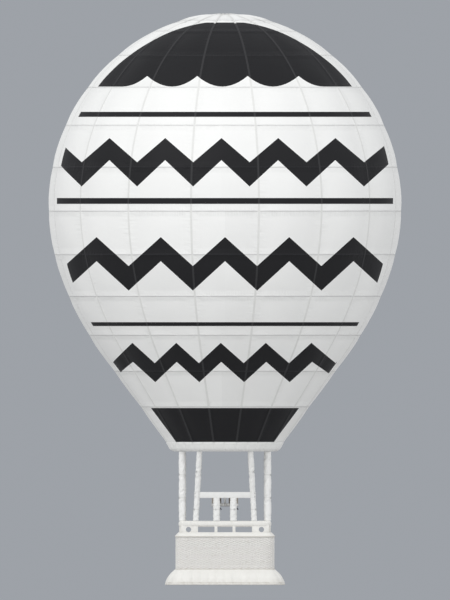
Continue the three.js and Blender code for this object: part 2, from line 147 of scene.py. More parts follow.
def primitive(name, add, **options):
    """A piece from one of Blender's own shapes."""
    bpy.ops.object.select_all(action="DESELECT")
    add(**options)
    piece = bpy.context.object
    piece.name = name
    return piece


add_world()
for sun in SUNS:
    add_sun(**sun)
bpy.context.scene.view_settings.view_transform = "Standard"

studio_floor = primitive("studio_floor", bpy.ops.mesh.primitive_plane_add, size=FLOOR_SIZE,
                         location=(0, 0, cad_bounds[0][2] - FLOOR_GAP))
print("lights:", [s["name"] for s in SUNS])

# %% [markdown]
# Small helpers for shader nodes. Each effect that more than one finish uses is a node group, and
# each finish is a Principled shader that takes its colour, roughness and bump from such groups.

# %% Helpers for shader nodes
def new_group(name, inputs, outputs, build):
    """A group from input values, the outputs' labels, and a function that makes those outputs."""
    group = bpy.data.node_groups.new(name, "ShaderNodeTree")
    for label, value in inputs.items():
        kind = "NodeSocketColor" if isinstance(value, tuple) else "NodeSocketFloat"
        give(group, group.interface.new_socket(label, in_out="INPUT", socket_type=kind), value)
    for label in outputs:
        kind = "NodeSocketColor" if label == "Color" else "NodeSocketFloat"
        group.interface.new_socket(label, in_out="OUTPUT", socket_type=kind)
    given = group.nodes.new("NodeGroupInput").outputs
    result = group.nodes.new("NodeGroupOutput").inputs
    for socket, made in zip(result, build(group, given)):
        group.links.new(made, socket)
    return group


def finish_group(inputs, build):
    return new_group(build.__name__, inputs, ("Color", "Roughness", "Height"), build)


def give(tree, socket, value):
    """Fills a socket with a number, a colour or another node's output."""
    if isinstance(value, bpy.types.NodeSocket):
        tree.links.new(value, socket)
    elif isinstance(value, tuple) and len(value) == 3:
        socket.default_value = (*value, 1)
    else:
        socket.default_value = value


def calc(tree, operation, *values):
    node = tree.nodes.new("ShaderNodeMath")
    node.operation = operation
    for socket, value in zip(node.inputs, values):
        give(tree, socket, value)
    return node.outputs[0]


def times(tree, first, second):
    return calc(tree, "MULTIPLY", first, second)


def plus(tree, first, second):
    return calc(tree, "ADD", first, second)


def minus(tree, first, second):
    return calc(tree, "SUBTRACT", first, second)


def mix_color(tree, factor, first, second, blend="MIX"):
    node = tree.nodes.new("ShaderNodeMix")
    node.data_type = "RGBA"
    node.blend_type = blend
    give(tree, node.inputs[0], factor)
    give(tree, node.inputs[6], first)
    give(tree, node.inputs[7], second)
    return node.outputs[2]


def toned(tree, color, light):
    """A colour made lighter or darker by a factor."""
    node = tree.nodes.new("ShaderNodeCombineColor")
    for socket in node.inputs[:3]:
        give(tree, socket, light)
    return mix_color(tree, 1.0, color, node.outputs[0], "MULTIPLY")


def stretched(tree, vector, scale):
    node = tree.nodes.new("ShaderNodeMapping")
    node.inputs["Scale"].default_value = scale
    tree.links.new(vector, node.inputs["Vector"])
    return node.outputs[0]


def noise(tree, vector, scale, detail=3.0):
    node = tree.nodes.new("ShaderNodeTexNoise")
    node.inputs["Scale"].default_value = scale
    node.inputs["Detail"].default_value = detail
    tree.links.new(vector, node.inputs["Vector"])
    return node.outputs["Fac"]


def wave(tree, vector, scale, direction, distortion):
    node = tree.nodes.new("ShaderNodeTexWave")
    node.bands_direction = direction
    give(tree, node.inputs["Scale"], scale)
    node.inputs["Distortion"].default_value = distortion
    tree.links.new(vector, node.inputs["Vector"])
    return node.outputs["Fac"]


def separate(tree, vector):
    node = tree.nodes.new("ShaderNodeSeparateXYZ")
    tree.links.new(vector, node.inputs[0])
    return node.outputs


def coordinates(tree, kind="Object"):
    return tree.nodes.new("ShaderNodeTexCoord").outputs[kind]


def cell_value(tree, column, row):
    """A random value for each cell of a grid, by its column and row."""
    cell = tree.nodes.new("ShaderNodeCombineXYZ")
    give(tree, cell.inputs[0], calc(tree, "FLOOR", column))
    give(tree, cell.inputs[1], calc(tree, "FLOOR", row))
    value = tree.nodes.new("ShaderNodeTexWhiteNoise")
    value.noise_dimensions = "2D"
    tree.links.new(cell.outputs[0], value.inputs["Vector"])
    return value.outputs["Value"]


def near_whole(tree, value, width):
    """One at a whole number, fading to nothing over a width on both sides."""
    from_whole = minus(tree, calc(tree, "FRACT", plus(tree, value, 0.5)), 0.5)
    share = calc(tree, "DIVIDE", calc(tree, "ABSOLUTE", from_whole), width)
    return minus(tree, 1.0, calc(tree, "MINIMUM", share, 1.0))


def use_group(tree, group, values):
    node = tree.nodes.new("ShaderNodeGroup")
    node.node_tree = group
    for label, value in values.items():
        give(tree, node.inputs[label], value)
    return node.outputs


def new_finish(name, group, values, metallic=0.0, bump=0.5, depth=0.002, sheen=0.0, coat=0.0, shine=0.5):
    """A material whose colour, roughness and height come from one group."""
    material = bpy.data.materials.new(name)
    material.use_nodes = True
    tree = material.node_tree
    shader = tree.nodes["Principled BSDF"]
    surface = {"Metallic": metallic, "Specular IOR Level": shine, "Sheen Weight": sheen, "Coat Weight": coat}
    for label, value in surface.items():
        shader.inputs[label].default_value = value
    made = use_group(tree, group, values(tree) if callable(values) else values)
    bumper = tree.nodes.new("ShaderNodeBump")
    bumper.inputs["Strength"].default_value = bump
    bumper.inputs["Distance"].default_value = depth
    tree.links.new(made["Color"], shader.inputs["Base Color"])
    tree.links.new(made["Roughness"], shader.inputs["Roughness"])
    tree.links.new(made["Height"], bumper.inputs["Height"])
    tree.links.new(bumper.outputs[0], shader.inputs["Normal"])
    return material


print("helpers ready")

# %% [markdown]
# The envelope is coated nylon with a ripstop grid. Gores meet along the load tapes, and panels
# about a metre high are sewn across them. The cloth's UV map counts gores sideways and metres
# upwards, so the seams fall on its whole numbers. Every panel is a slightly different tone, and
# the thread pulls small puckers into the cloth beside each seam.

# %% The sewn cloth
GORES = 16
PANEL_HEIGHT = 1.1
GORE_SEAM_WIDTH = 0.016
LEVEL_SEAM_WIDTH = 0.02
RIPSTOP_PER_METRE = 40


def sewn_cloth(group, given):
    across, up, _ = separate(group, coordinates(group, "UV"))
    gore = plus(group, across, 0.5)
    level = calc(group, "DIVIDE", up, PANEL_HEIGHT)
    gore_seam = near_whole(group, gore, GORE_SEAM_WIDTH)
    level_seam = near_whole(group, level, LEVEL_SEAM_WIDTH)
    seam = calc(group, "MAXIMUM", gore_seam, level_seam)
    beside = calc(group, "MAXIMUM", near_whole(group, gore, 0.12), near_whole(group, level, 0.12))
    place = coordinates(group)
    cloud = noise(group, place, 0.8, 4)
    light = calc(group, "MULTIPLY_ADD", cell_value(group, gore, level), 0.04, 0.97)
    mottle = times(group, minus(group, cloud, 0.5), given["Mottle"])
    light = plus(group, light, mottle)
    light = minus(group, light, times(group, seam, given["Seam Shade"]))
    cloth_place = coordinates(group, "UV")
    loose = calc(group, "MULTIPLY_ADD", beside, 1.6, 0.35)
    pucker = times(group, noise(group, place, 4.5, 5), loose)
    # the seams that gathers lie beside, how far they reach and the scale of their noise
    for seams, width, scale in ((level, 0.15, (40, 2.5, 1)), (gore, 0.2, (3, 16, 1))):
        gather = noise(group, stretched(group, cloth_place, scale), 1.0, 2)
        pucker = calc(group, "MULTIPLY_ADD", gather, near_whole(group, seams, width), pucker)
    ripstop = near_whole(group, times(group, up, RIPSTOP_PER_METRE), 0.08)
    height = plus(group, times(group, seam, 0.7), pucker)
    height = plus(group, height, times(group, ripstop, 0.03))
    return toned(group, given["Color"], light), calc(group, "MULTIPLY_ADD", cloud, 0.2, 0.5), height


SEWN_CLOTH = finish_group({"Color": (1, 1, 1), "Seam Shade": 0.1, "Mottle": 0.05}, sewn_cloth)
WHITE = (0.87, 0.87, 0.85)
DARK = (0.012, 0.012, 0.0135)
# lowest and highest height, half width on the axis, and how much wider for each metre of radius
SIDE_BANDS = [
    (0.0, 5.0, 1.12, 0.034),
    (-3.3, 0.0, 0.52, 0.21),
    (-4.7, -3.3, 0.55, 0.1),
    (-7.0, -4.7, 0.52, 0.21),
]


def side_band(group, given):
    """One inside the white band down each side of the envelope, and nothing outside."""
    x, y, z = separate(group, coordinates(group))
    square = plus(group, times(group, x, x), times(group, y, y))
    radius = calc(group, "SQRT", square)
    reach = 0.0
    for low, high, half, share in SIDE_BANDS:
        above = calc(group, "GREATER_THAN", z, low)
        within = times(group, above, calc(group, "LESS_THAN", z, high))
        wide = calc(group, "MULTIPLY_ADD", radius, share, half)
        reach = calc(group, "MULTIPLY_ADD", wide, within, reach)
    return [calc(group, "LESS_THAN", calc(group, "ABSOLUTE", y), reach)]


SIDE_BAND = new_group("side_band", {}, ["Mask"], side_band)


def banded_dark(tree):
    """Dark cloth, white in the side bands. Its seams are a little lighter than it, not darker."""
    mask = use_group(tree, SIDE_BAND, {})["Mask"]
    shade = calc(tree, "MULTIPLY_ADD", mask, 1.3, -1.2)
    return {"Color": mix_color(tree, mask, DARK, WHITE), "Seam Shade": shade, "Mottle": 0.1}


CLOTH_RELIEF = {"bump": 0.8, "depth": 0.02}
CLOTH = {
    "white": new_finish("white_cloth", SEWN_CLOTH, {"Color": WHITE}, **CLOTH_RELIEF),
    "dark": new_finish("dark_cloth", SEWN_CLOTH, banded_dark, shine=0.2, **CLOTH_RELIEF),
}
print("cloths:", list(CLOTH))

# %% [markdown]
# The envelope's shape is worked out finer than the solids: a dome above the widest ring, a curve
# below it and a straight cone under that. Between two load tapes the cloth bulges, which gives a
# real envelope its ribs, and it bulges a little between its level seams and in soft billows. The
# load tapes lie in round valleys, so that the cloth's faces don't cover them.

# %% The envelope's shape
RADIUS = 4.412
CROWN_HEIGHT = 4.75
DOME_POWER = 1.95
CONE_START = 3.9
CONE_SLOPE = 0.735
HOLE_RADIUS = 1.25
LOBE_DEPTH = 0.017
LOBE_FADE = 0.7
VALLEY = 0.07
PANEL_BULGE = 0.012
BILLOW = 0.006
CLOTH_THICKNESS = 0.004
HALF_SEAM = 0.00015


def clipped(*shares):
    return max(0.0, min(1.0, *shares))


def part_way(first, second, share):
    return first + (second - first) * share


def about_axis(turn, radius, z):
    """A point at a distance from the balloon's axis, by radians from the front towards +X."""
    return (radius * math.sin(turn), -radius * math.cos(turn), z)


def envelope_radius(z):
    if z >= 0:
        return RADIUS * max(0.0, 1 - (z / CROWN_HEIGHT) ** DOME_POWER) ** (1 / DOME_POWER)
    curved = max(z, -CONE_START)
    return RADIUS - CONE_SLOPE * curved**2 / (2 * CONE_START) + CONE_SLOPE * (z - curved)


def dome_height(radius):
    return CROWN_HEIGHT * (1 - (radius / RADIUS) ** DOME_POWER) ** (1 / DOME_POWER)


HOLE_HEIGHT = dome_height(HOLE_RADIUS)
MOUTH_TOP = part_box("skirt")[0].z - HALF_SEAM
SLICE = 0.05
SLICES = math.ceil((HOLE_HEIGHT - MOUTH_TOP) / SLICE) + 1


def length_table():
    """Length along the cloth from the mouth up, at every slice."""
    lengths = [0.0]
    for i in range(SLICES):
        low = MOUTH_TOP + i * SLICE
        high = min(low + SLICE, CROWN_HEIGHT)
        lengths.append(lengths[-1] + math.hypot(high - low, envelope_radius(high) - envelope_radius(low)))
    return lengths


LENGTHS = length_table()


def cloth_length(z):
    place = (z - MOUTH_TOP) / SLICE
    low = max(0, min(int(place), SLICES - 1))
    return part_way(*LENGTHS[low:low + 2], place - low)


def height_at(length):
    """The height at a length along the cloth, which is cloth_length the other way round."""
    low = max(0, min(bisect.bisect_right(LENGTHS, length) - 1, SLICES - 1))
    return MOUTH_TOP + (low + (length - LENGTHS[low]) / (LENGTHS[low + 1] - LENGTHS[low])) * SLICE


def lobe(from_middle):
    """A gore's section: nothing in its middle, most at the tapes, with a round valley there."""
    apart = abs(from_middle)
    edge = 0.5 - VALLEY
    if apart <= edge:
        return (2 * apart) ** 2
    return (2 * edge) ** 2 + 4 * edge * VALLEY * (1 - ((0.5 - apart) / VALLEY) ** 2)


def lobed_radius(azimuth, z):
    gore = azimuth * GORES / 360
    from_middle = gore - round(gore)
    fade = clipped((HOLE_HEIGHT - z) / LOBE_FADE, (z - MOUTH_TOP) / LOBE_FADE)
    between = math.cos(math.pi * from_middle) ** 2
    level = cloth_length(z) / PANEL_HEIGHT
    seam = math.cos(math.pi * level) ** 6
    phase = 2.4 * (round(gore) % GORES)
    billow = math.sin(3.9 * level + phase) * math.sin(5 * from_middle + 1.7 * level)
    loose = between * (PANEL_BULGE * seam + BILLOW * billow)
    return envelope_radius(z) * (1 - LOBE_DEPTH * fade * lobe(from_middle)) - fade * loose


def on_envelope(azimuth, z, out=0.0):
    """A point on the cloth, by degrees from the front towards +X and by height."""
    return about_axis(math.radians(azimuth), lobed_radius(azimuth, z) + out, z)


print("cloth from mouth to opening:", round(cloth_length(HOLE_HEIGHT), 2), "m")

# %% [markdown]
# A shaped border between two cloths runs through corners that are placed as seen from the front,
# so the teeth look even there, and the back repeats the front. A level border is one height.

# %% The borders between the cloths
# A zigzag's two edges have the heights of a crest, a low and the last corner. The leg after it ends
# near the outline, and turn is the degrees that a band is turned by.
SCALLOP = {"pitch": 1.262, "cusp": 3.2, "bottom": 2.935, "corners": 4, "turn": -1.15}
ZIGZAG = {
    "upper": {"pitch": 1.412, "top": (1.65, 1.045, 1.045), "bottom": (1.097, 0.437, 0.437),
              "corners": 5, "turn": -1.2},
    "middle": {"pitch": 1.606, "top": (-0.826, -1.55, -1.55), "bottom": (-1.43, -2.165, -2.165),
               "corners": 5, "turn": 0},
    "lower": {"pitch": 1.12, "top": (-3.47, -3.978, -3.978), "bottom": (-3.947, -4.455, -4.367),
              "corners": 5, "turn": -1.85},
}
WIDEST_CORNER = 0.985
COLUMN_STEP = 1.5
SCALLOP_STEPS = 6
# degrees from the axis up to which borders follow the lobes, and over which that fades out
SEEN_FROM_FRONT = 76
SEEN_FADE = 12


def azimuth_at(x, z):
    return math.degrees(math.asin(x / envelope_radius(z)))


def corner_at(x, z):
    return azimuth_at(x, z), x, z


def beyond_widest(x, z):
    return x > WIDEST_CORNER * envelope_radius(z)


def leg_end(x0, z0, x1, z1):
    """Where a leg that runs straight, as seen from the front, comes close to the outline."""
    inside, outside = 0.0, 1.0
    for _ in range(40):
        share = (inside + outside) / 2
        if beyond_widest(part_way(x0, x1, share), part_way(z0, z1, share)):
            outside = share
        else:
            inside = share
    return corner_at(part_way(x0, x1, inside), part_way(z0, z1, inside))


def quarters_through(edges):
    """Columns from the front to the side, through the corners of edges that share their columns."""
    quarters = [[(edge[0][0], edge[0][2])] for edge in edges]
    for i in range(len(edges[0]) - 1):
        widest = max(edge[i + 1][0] - edge[i][0] for edge in edges)
        steps = max(1, math.ceil(widest / COLUMN_STEP))
        for edge, quarter in zip(edges, quarters):
            (a0, x0, z0), (a1, x1, z1) = edge[i], edge[i + 1]
            for step in range(1, steps + 1):
                share = step / steps
                z = part_way(z0, z1, share)
                by_turn = part_way(a0, a1, share)
                azimuth = by_turn if x1 is None else azimuth_at(part_way(x0, x1, share), z)
                quarter.append((azimuth, z))
    return quarters


def over_lobes(azimuth, z):
    """The azimuth where a border has to run over the lobes to look straight from the front."""
    from_axis = math.degrees(math.asin(math.sin(math.radians(azimuth))))
    x = envelope_radius(z) * math.sin(math.radians(azimuth))
    moved = from_axis
    for _ in range(6):
        moved = math.degrees(math.asin(max(-0.98, min(0.98, x / lobed_radius(moved, z)))))
    shift = (moved - from_axis) * clipped((SEEN_FROM_FRONT - abs(from_axis)) / SEEN_FADE)
    return azimuth + (shift if math.cos(math.radians(azimuth)) > 0 else -shift)


def all_round(quarter, turn):
    back = [(180 - a, z) for a, z in reversed(quarter[:-1])]
    left = [(180 + a, z) for a, z in quarter[1:]]
    front = [(360 - a, z) for a, z in reversed(quarter[1:-1])]
    return [(over_lobes(a + turn, z), z) for a, z in quarter + back + left + front]


def zigzag_edge(heights, pitch, corners):
    """One edge from the front to the side. It goes level from the last leg's end to the side."""
    crest, low, last = heights
    edge = [corner_at(0, crest)]
    for i in range(1, corners + 2):
        x = i * pitch / 2
        z = last if i == corners else (low if i % 2 else crest)
        if beyond_widest(x, z):
            edge.append(leg_end(*edge[-1][1:], x, z))
            break
        edge.append(corner_at(x, z))
    while len(edge) < corners + 2:
        azimuth, _, z = edge[-1]
        edge.append(((azimuth + 90) / 2, None, z))
    return edge + [(90, None, edge[-1][2])]


def zigzag_edges(pitch, top, bottom, corners, turn):
    edges = [zigzag_edge(heights, pitch, corners) for heights in (top, bottom)]
    return [all_round(quarter, turn) for quarter in quarters_through(edges)]


def scallop_edge(pitch, cusp, bottom, corners, turn):
    edge = []
    for i in range(corners * SCALLOP_STEPS + 1):
        from_bottom = abs((i / SCALLOP_STEPS + 1) % 2 - 1)
        z = part_way(bottom, cusp, from_bottom**2)
        edge.append(corner_at(i * pitch / (2 * SCALLOP_STEPS), z))
    return all_round(quarters_through([edge + [(90, None, bottom)]])[0], turn)


scallop = scallop_edge(**SCALLOP)
zigzags = {name: zigzag_edges(**sizes) for name, sizes in ZIGZAG.items()}
print("columns:", len(scallop), {name: len(edges[0]) for name, edges in zigzags.items()})

# %% [markdown]
# Each cloth is one curved sheet between its two borders. It is made by code as a grid of faces,
# because its edges have to follow the zigzags, and Solidify gives it its thickness inwards.

# %% The cloth panels
ROW_STEP = 0.11
PLAIN_COLUMNS = [i * 360 / 256 for i in range(256)]


def level(node, side):
    """The height of a level border: the lower (0) or the upper (1) side of a stripe."""
    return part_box(node)[side].z + (HALF_SEAM if side else -HALF_SEAM)


ABOVE = {name: level(name, 1) for name in ("stripe_upper", "stripe_middle", "stripe_lower", "skirt")}
BELOW = {name: level(name, 0) for name in ABOVE}
# node, lower border, upper border, cloth
PANELS = [
    ("crown_panel", scallop, HOLE_HEIGHT, "dark"),
    ("shoulder_panel", ABOVE["stripe_upper"], scallop, "white"),
    ("stripe_upper", BELOW["stripe_upper"], ABOVE["stripe_upper"], "dark"),
    ("panel_above_zigzag_upper", zigzags["upper"][0], BELOW["stripe_upper"], "white"),
    ("zigzag_upper", zigzags["upper"][1], zigzags["upper"][0], "dark"),
    ("panel_below_zigzag_upper", ABOVE["stripe_middle"], zigzags["upper"][1], "white"),
    ("stripe_middle", BELOW["stripe_middle"], ABOVE["stripe_middle"], "dark"),
    ("panel_above_zigzag_middle", zigzags["middle"][0], BELOW["stripe_middle"], "white"),
    ("zigzag_middle", zigzags["middle"][1], zigzags["middle"][0], "dark"),
    ("panel_below_zigzag_middle", ABOVE["stripe_lower"], zigzags["middle"][1], "white"),
    ("stripe_lower", BELOW["stripe_lower"], ABOVE["stripe_lower"], "dark"),
    ("panel_above_zigzag_lower", zigzags["lower"][0], BELOW["stripe_lower"], "white"),
    ("zigzag_lower", zigzags["lower"][1], zigzags["lower"][0], "dark"),
    ("panel_below_zigzag_lower", ABOVE["skirt"], zigzags["lower"][1], "white"),
    ("skirt", MOUTH_TOP, ABOVE["skirt"], "dark"),
]


def new_mesh(name, points, faces, uvs=None):
    """A piece from points and faces, with an optional UV for each corner of each face."""
    mesh = bpy.data.meshes.new(name)
    mesh.from_pydata(points, [], faces)
    if uvs:
        layer = mesh.uv_layers.new(name="cloth")
        for corner, uv in zip(layer.data, uvs):
            corner.uv = uv
    mesh.shade_smooth()
    piece = bpy.data.objects.new(name, mesh)
    bpy.context.scene.collection.objects.link(piece)
    return piece


def ring_faces(rows, around, closed_rows=False):
    """Faces between rows of points that each close on themselves; the rows may close as well."""
    faces = []
    for r in range(rows if closed_rows else rows - 1):
        above = (r + 1) % rows
        for c in range(around):
            n = (c + 1) % around
            faces.append((r * around + c, r * around + n, above * around + n, above * around + c))
    return faces


def ring_uvs(uv_rows):
    """UVs for ring_faces, from rows that hold one column more than the points do."""
    uvs = []
    for low, high in zip(uv_rows, uv_rows[1:]):
        for c in range(len(low) - 1):
            uvs += [low[c], low[c + 1], high[c + 1], high[c]]
    return uvs


def activate(piece):
    bpy.ops.object.select_all(action="DESELECT")
    bpy.context.view_layer.objects.active = piece
    piece.select_set(True)


def apply_modifiers(piece):
    activate(piece)
    for modifier in list(piece.modifiers):
        bpy.ops.object.modifier_apply(modifier=modifier.name)


def set_all(target, settings):
    for name, value in settings.items():
        setattr(target, name, value)


def modify(piece, kind, **settings):
    """Adds a modifier with its settings, and applies it."""
    set_all(piece.modifiers.new(kind.lower(), kind), settings)
    apply_modifiers(piece)
    return piece


WELD_GAP = 0.00005


def welded(piece):
    """Merges points that fall together, and so takes out the faces without area between them."""
    return modify(piece, "WELD", merge_threshold=WELD_GAP)


SMOOTH_ANGLE = math.radians(35)


def shade(piece, angle=SMOOTH_ANGLE):
    """Smooth faces, but a hard edge where two of them meet at more than the angle."""
    activate(piece)
    bpy.ops.object.shade_smooth_by_angle(angle=angle)
    return piece


def thicken(piece, thickness, offset=-1):
    return shade(modify(piece, "SOLIDIFY", thickness=thickness, offset=offset))


def belongs(piece, material, body="root", nodes=()):
    """Gives a piece its finish, its body and the solids that it stands for."""
    piece.data.materials.clear()
    piece.data.materials.append(material)
    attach(piece, body)
    if nodes:
        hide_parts(*nodes)
    return piece


def columns_of(border, azimuths):
    return [(a, border) for a in azimuths] if isinstance(border, float) else border


def cloth_panel(node, low, high, cloth):
    shaped = next((b for b in (low, high) if not isinstance(b, float)), None)
    azimuths = [a for a, _ in shaped] if shaped else PLAIN_COLUMNS
    lows = columns_of(low, azimuths)
    highs = columns_of(high, azimuths)
    spans = [(cloth_length(l[1]), cloth_length(h[1])) for l, h in zip(lows, highs)]
    steps = max(1, round(max(top - bottom for bottom, top in spans) / ROW_STEP))
    points = []
    uv_rows = []
    for step in range(steps + 1):
        share = step / steps
        turns = [part_way(l[0], h[0], share) for l, h in zip(lows, highs)]
        ups = [part_way(bottom, top, share) for bottom, top in spans]
        points += [on_envelope(a, height_at(up)) for a, up in zip(turns, ups)]
        uv_row = [(a * GORES / 360, up) for a, up in zip(turns, ups)]
        uv_rows.append(uv_row + [(uv_row[0][0] + GORES, uv_row[0][1])])
    name = "cloth_" + node
    piece = new_mesh(name, points, ring_faces(steps + 1, len(azimuths)), ring_uvs(uv_rows))
    area = sum(face.area for face in piece.data.polygons)
    width = 2 * math.pi * max(envelope_radius(z) for _, z in lows + highs)
    thicken(piece, CLOTH_THICKNESS)
    belongs(piece, CLOTH[cloth], nodes=[node])
    return area


cloth_area = sum(cloth_panel(*panel) for panel in PANELS)
print("cloth:", len(PANELS), "panels,", round(cloth_area, 1), "m2")

# %% [markdown]
# The load tapes are strips of webbing over the gore seams, and they carry the basket. Each is in
# the colour of the cloth under it, so a tape is cut where a border crosses it. Straps are made
# directly, because they have to lie on the curved cloth.

# %% The webbing
def woven_strap(group, given):
    place = coordinates(group)
    cloud = noise(group, place, 6.0, 4)
    ribs = wave(group, place, given["Rib Size"], "DIAGONAL", 0.4)
    light = calc(group, "MULTIPLY_ADD", cloud, 0.12, 0.9)
    light = minus(group, light, times(group, ribs, 0.05))
    return toned(group, given["Color"], light), calc(group, "MULTIPLY_ADD", cloud, 0.2, 0.6), ribs


def banded_webbing(tree):
    mask = use_group(tree, SIDE_BAND, {})["Mask"]
    return {"Color": mix_color(tree, mask, DARK_WEBBING, WHITE_WEBBING)}


WHITE_WEBBING = (0.8, 0.8, 0.775)
DARK_WEBBING = (0.02, 0.02, 0.022)
WOVEN_STRAP = finish_group({"Color": (1, 1, 1), "Rib Size": 60.0}, woven_strap)
WEBBING = {
    "white": new_finish("white_webbing", WOVEN_STRAP, {"Color": WHITE_WEBBING}, depth=0.001),
    "dark": new_finish("dark_webbing", WOVEN_STRAP, banded_webbing, depth=0.001),
}

# %% The load tapes
TAPE_WIDTH = 0.05
TAPE_RISE = 0.005
TAPE_EDGE_RISE = 0.0035
TAPE_STEP = 0.11


def border_height(border, azimuth):
    """The height of a border where it passes an azimuth."""
    if isinstance(border, float):
        return border
    turned_past = border + [(border[0][0] + 360, border[0][1])]
    for (a0, z0), (a1, z1) in zip(turned_past, turned_past[1:]):
        if a0 <= azimuth <= a1:
            return z0 + (z1 - z0) * (azimuth - a0) / (a1 - a0)
    return border[0][1]


def tape_strip(points, faces, azimuth, low, high):
    """A strip with a crowned middle along one seam, between two borders."""
    columns = []
    for across in (-1, 0, 1):
        def azimuth_of(z, across=across):
            return azimuth + across * math.degrees(TAPE_WIDTH / 2 / envelope_radius(z))
        bottom = cloth_length(border_height(low, azimuth_of(border_height(low, azimuth))))
        top = cloth_length(border_height(high, azimuth_of(border_height(high, azimuth))))
        columns.append((azimuth_of, bottom, top, TAPE_EDGE_RISE if across else TAPE_RISE))
    steps = max(1, round((columns[1][2] - columns[1][1]) / TAPE_STEP))
    start = len(points)
    for step in range(steps + 1):
        for azimuth_of, bottom, top, rise in columns:
            z = height_at(bottom + (top - bottom) * step / steps)
            points.append(on_envelope(azimuth_of(z), z, rise))
    for step in range(steps):
        for column in range(2):
            corner = start + step * 3 + column
            faces.append((corner, corner + 1, corner + 4, corner + 3))


def load_tapes(cloth):
    points = []
    faces = []
    for _, low, high, panel_cloth in PANELS:
        if panel_cloth != cloth:
            continue
        for seam in range(GORES):
            tape_strip(points, faces, (seam + 0.5) * 360 / GORES, low, high)
    piece = new_mesh("load_tapes_" + cloth, points, faces)
    thicken(piece, TAPE_RISE)
    return belongs(piece, WEBBING[cloth])


for cloth in WEBBING:
    print(load_tapes(cloth).name)

# %% [markdown]
# The parachute vent is a disc of the same cloth. Hot air presses it up against the tapes that cross
# the opening, so it bulges between them, and its rim lies under the crown's edge.

# %% The parachute vent
CROWN_RING = {"inner": 0.11, "outer": 0.17, "thick": 0.016}
VENT_STATIONS = [0.02, 0.15, 0.3, 0.45, 0.6, 0.75, 0.88, 1.0, 1.1, 1.185]
VENT_RIM = [(1.205, 0.007), (1.24, 0.02), (1.29, 0.038), (1.328, 0.053)]
VENT_BULGE = 0.03
VENT_THICKNESS = 0.003
VENT_COLUMNS = 128


def vent_height(radius, azimuth):
    under_tape = min(dome_height(radius), dome_height(CROWN_RING["outer"])) - 0.0015
    gore = azimuth * GORES / 360
    between = math.cos(math.pi * (gore - round(gore))) ** 2
    share = clipped((radius - 0.25) / 0.3, (1.185 - radius) / 0.25)
    return under_tape + VENT_BULGE * between * share - 0.002 * (1 - between)


def parachute_vent():
    points = []
    uv_rows = []
    stations = [(r, None) for r in VENT_STATIONS] + VENT_RIM
    for radius, drop in stations:
        uv_row = []
        for column in range(VENT_COLUMNS + 1):
            azimuth = column * 360 / VENT_COLUMNS
            z = vent_height(radius, azimuth) if drop is None else HOLE_HEIGHT - drop
            if column < VENT_COLUMNS:
                points.append(about_axis(math.radians(azimuth), radius, z))
            uv_row.append((azimuth * GORES / 360, radius))
        uv_rows.append(uv_row)
    faces = [tuple(reversed(f)) for f in ring_faces(len(stations), VENT_COLUMNS)]
    uvs = ring_uvs(uv_rows)
    uvs = [uv for i in range(0, len(uvs), 4) for uv in reversed(uvs[i:i + 4])]
    faces.append(tuple(range(VENT_COLUMNS)))
    uvs += [(c * GORES / VENT_COLUMNS, 0.02) for c in range(VENT_COLUMNS)]
    piece = thicken(new_mesh("vent_cloth", points, faces, uvs), VENT_THICKNESS)
    belongs(piece, CLOTH["white"], "vent", ["parachute_vent"])
    return piece


print(parachute_vent().name)

# %% [markdown]
# Round metal is started as a disc and drawn upwards: each station of a short table extrudes the
# top face and scales it. The same helper makes the pins, cans, cylinders, valves and bolts.

# %% Helpers for round pieces and blocks
# the gap between a piece and what it stands on
RESTING_GAP = 0.0003


def sized(piece, size):
    """Scales a piece in its mesh."""
    piece.scale = size
    bpy.ops.object.transform_apply(location=False, rotation=False, scale=True)
    return piece


def open_mesh():
    """Puts the active piece in edit mode, with all of it selected."""
    bpy.ops.object.mode_set(mode="EDIT")
    bpy.ops.mesh.select_all(action="SELECT")


def turned_outwards():
    """Turns all faces of the mesh in edit mode outwards, and leaves edit mode."""
    bpy.ops.mesh.select_all(action="SELECT")
    bpy.ops.mesh.normals_make_consistent(inside=False)
    bpy.ops.object.mode_set(mode="OBJECT")


def around_point(x, y, reach, turn):
    """The point at a distance from another one, in a direction in radians."""
    return x + reach * math.cos(turn), y + reach * math.sin(turn)


def drawn_up(name, stations, place=(0, 0, 0), turn=(0, 0, 0), sides=32):
    """A round piece about its own Z axis through [radius, height] stations, then turned and placed."""
    radius, height = stations[0]
    piece = primitive(name, bpy.ops.mesh.primitive_circle_add, vertices=sides, radius=radius,
                      fill_type="NGON", location=(0, 0, height))
    open_mesh()
    for next_radius, next_height in stations[1:]:
        bpy.ops.mesh.extrude_region_move(
            TRANSFORM_OT_translate={"value": (0, 0, next_height - height)})
        share = next_radius / radius
        bpy.ops.transform.resize(value=(share, share, 1), center_override=(0, 0, next_height))
        radius, height = next_radius, next_height
    turned_outwards()
    return set_in_place(shade(piece), place, turn)


def set_in_place(piece, place=(0, 0, 0), turn=(0, 0, 0)):
    """Puts a piece that was built about the origin where it belongs, in its mesh."""
    activate(piece)
    bpy.ops.object.transform_apply(location=True, rotation=True, scale=True)
    piece.rotation_euler = [math.radians(a) for a in turn]
    bpy.ops.object.transform_apply(location=False, rotation=True, scale=False)
    piece.location = place
    bpy.ops.object.transform_apply(location=True, rotation=False, scale=False)
    return piece


def shaped_block(name, size, place, round_by=0.004, segments=2, turn=(0, 0, 0)):
    """A block with rounded edges."""
    piece = sized(primitive(name, bpy.ops.mesh.primitive_cube_add, size=1), size)
    open_mesh()
    bpy.ops.mesh.bevel(offset=round_by, segments=segments, affect="EDGES")
    bpy.ops.object.mode_set(mode="OBJECT")
    return set_in_place(shade(piece), place, turn)


def copy_of(piece, place=(0, 0, 0), turn=(0, 0, 0)):
    """A copy with its own mesh, turned about the origin and then moved."""
    twin = piece.copy()
    twin.data = piece.data.copy()
    bpy.context.scene.collection.objects.link(twin)
    return set_in_place(twin, place, turn)


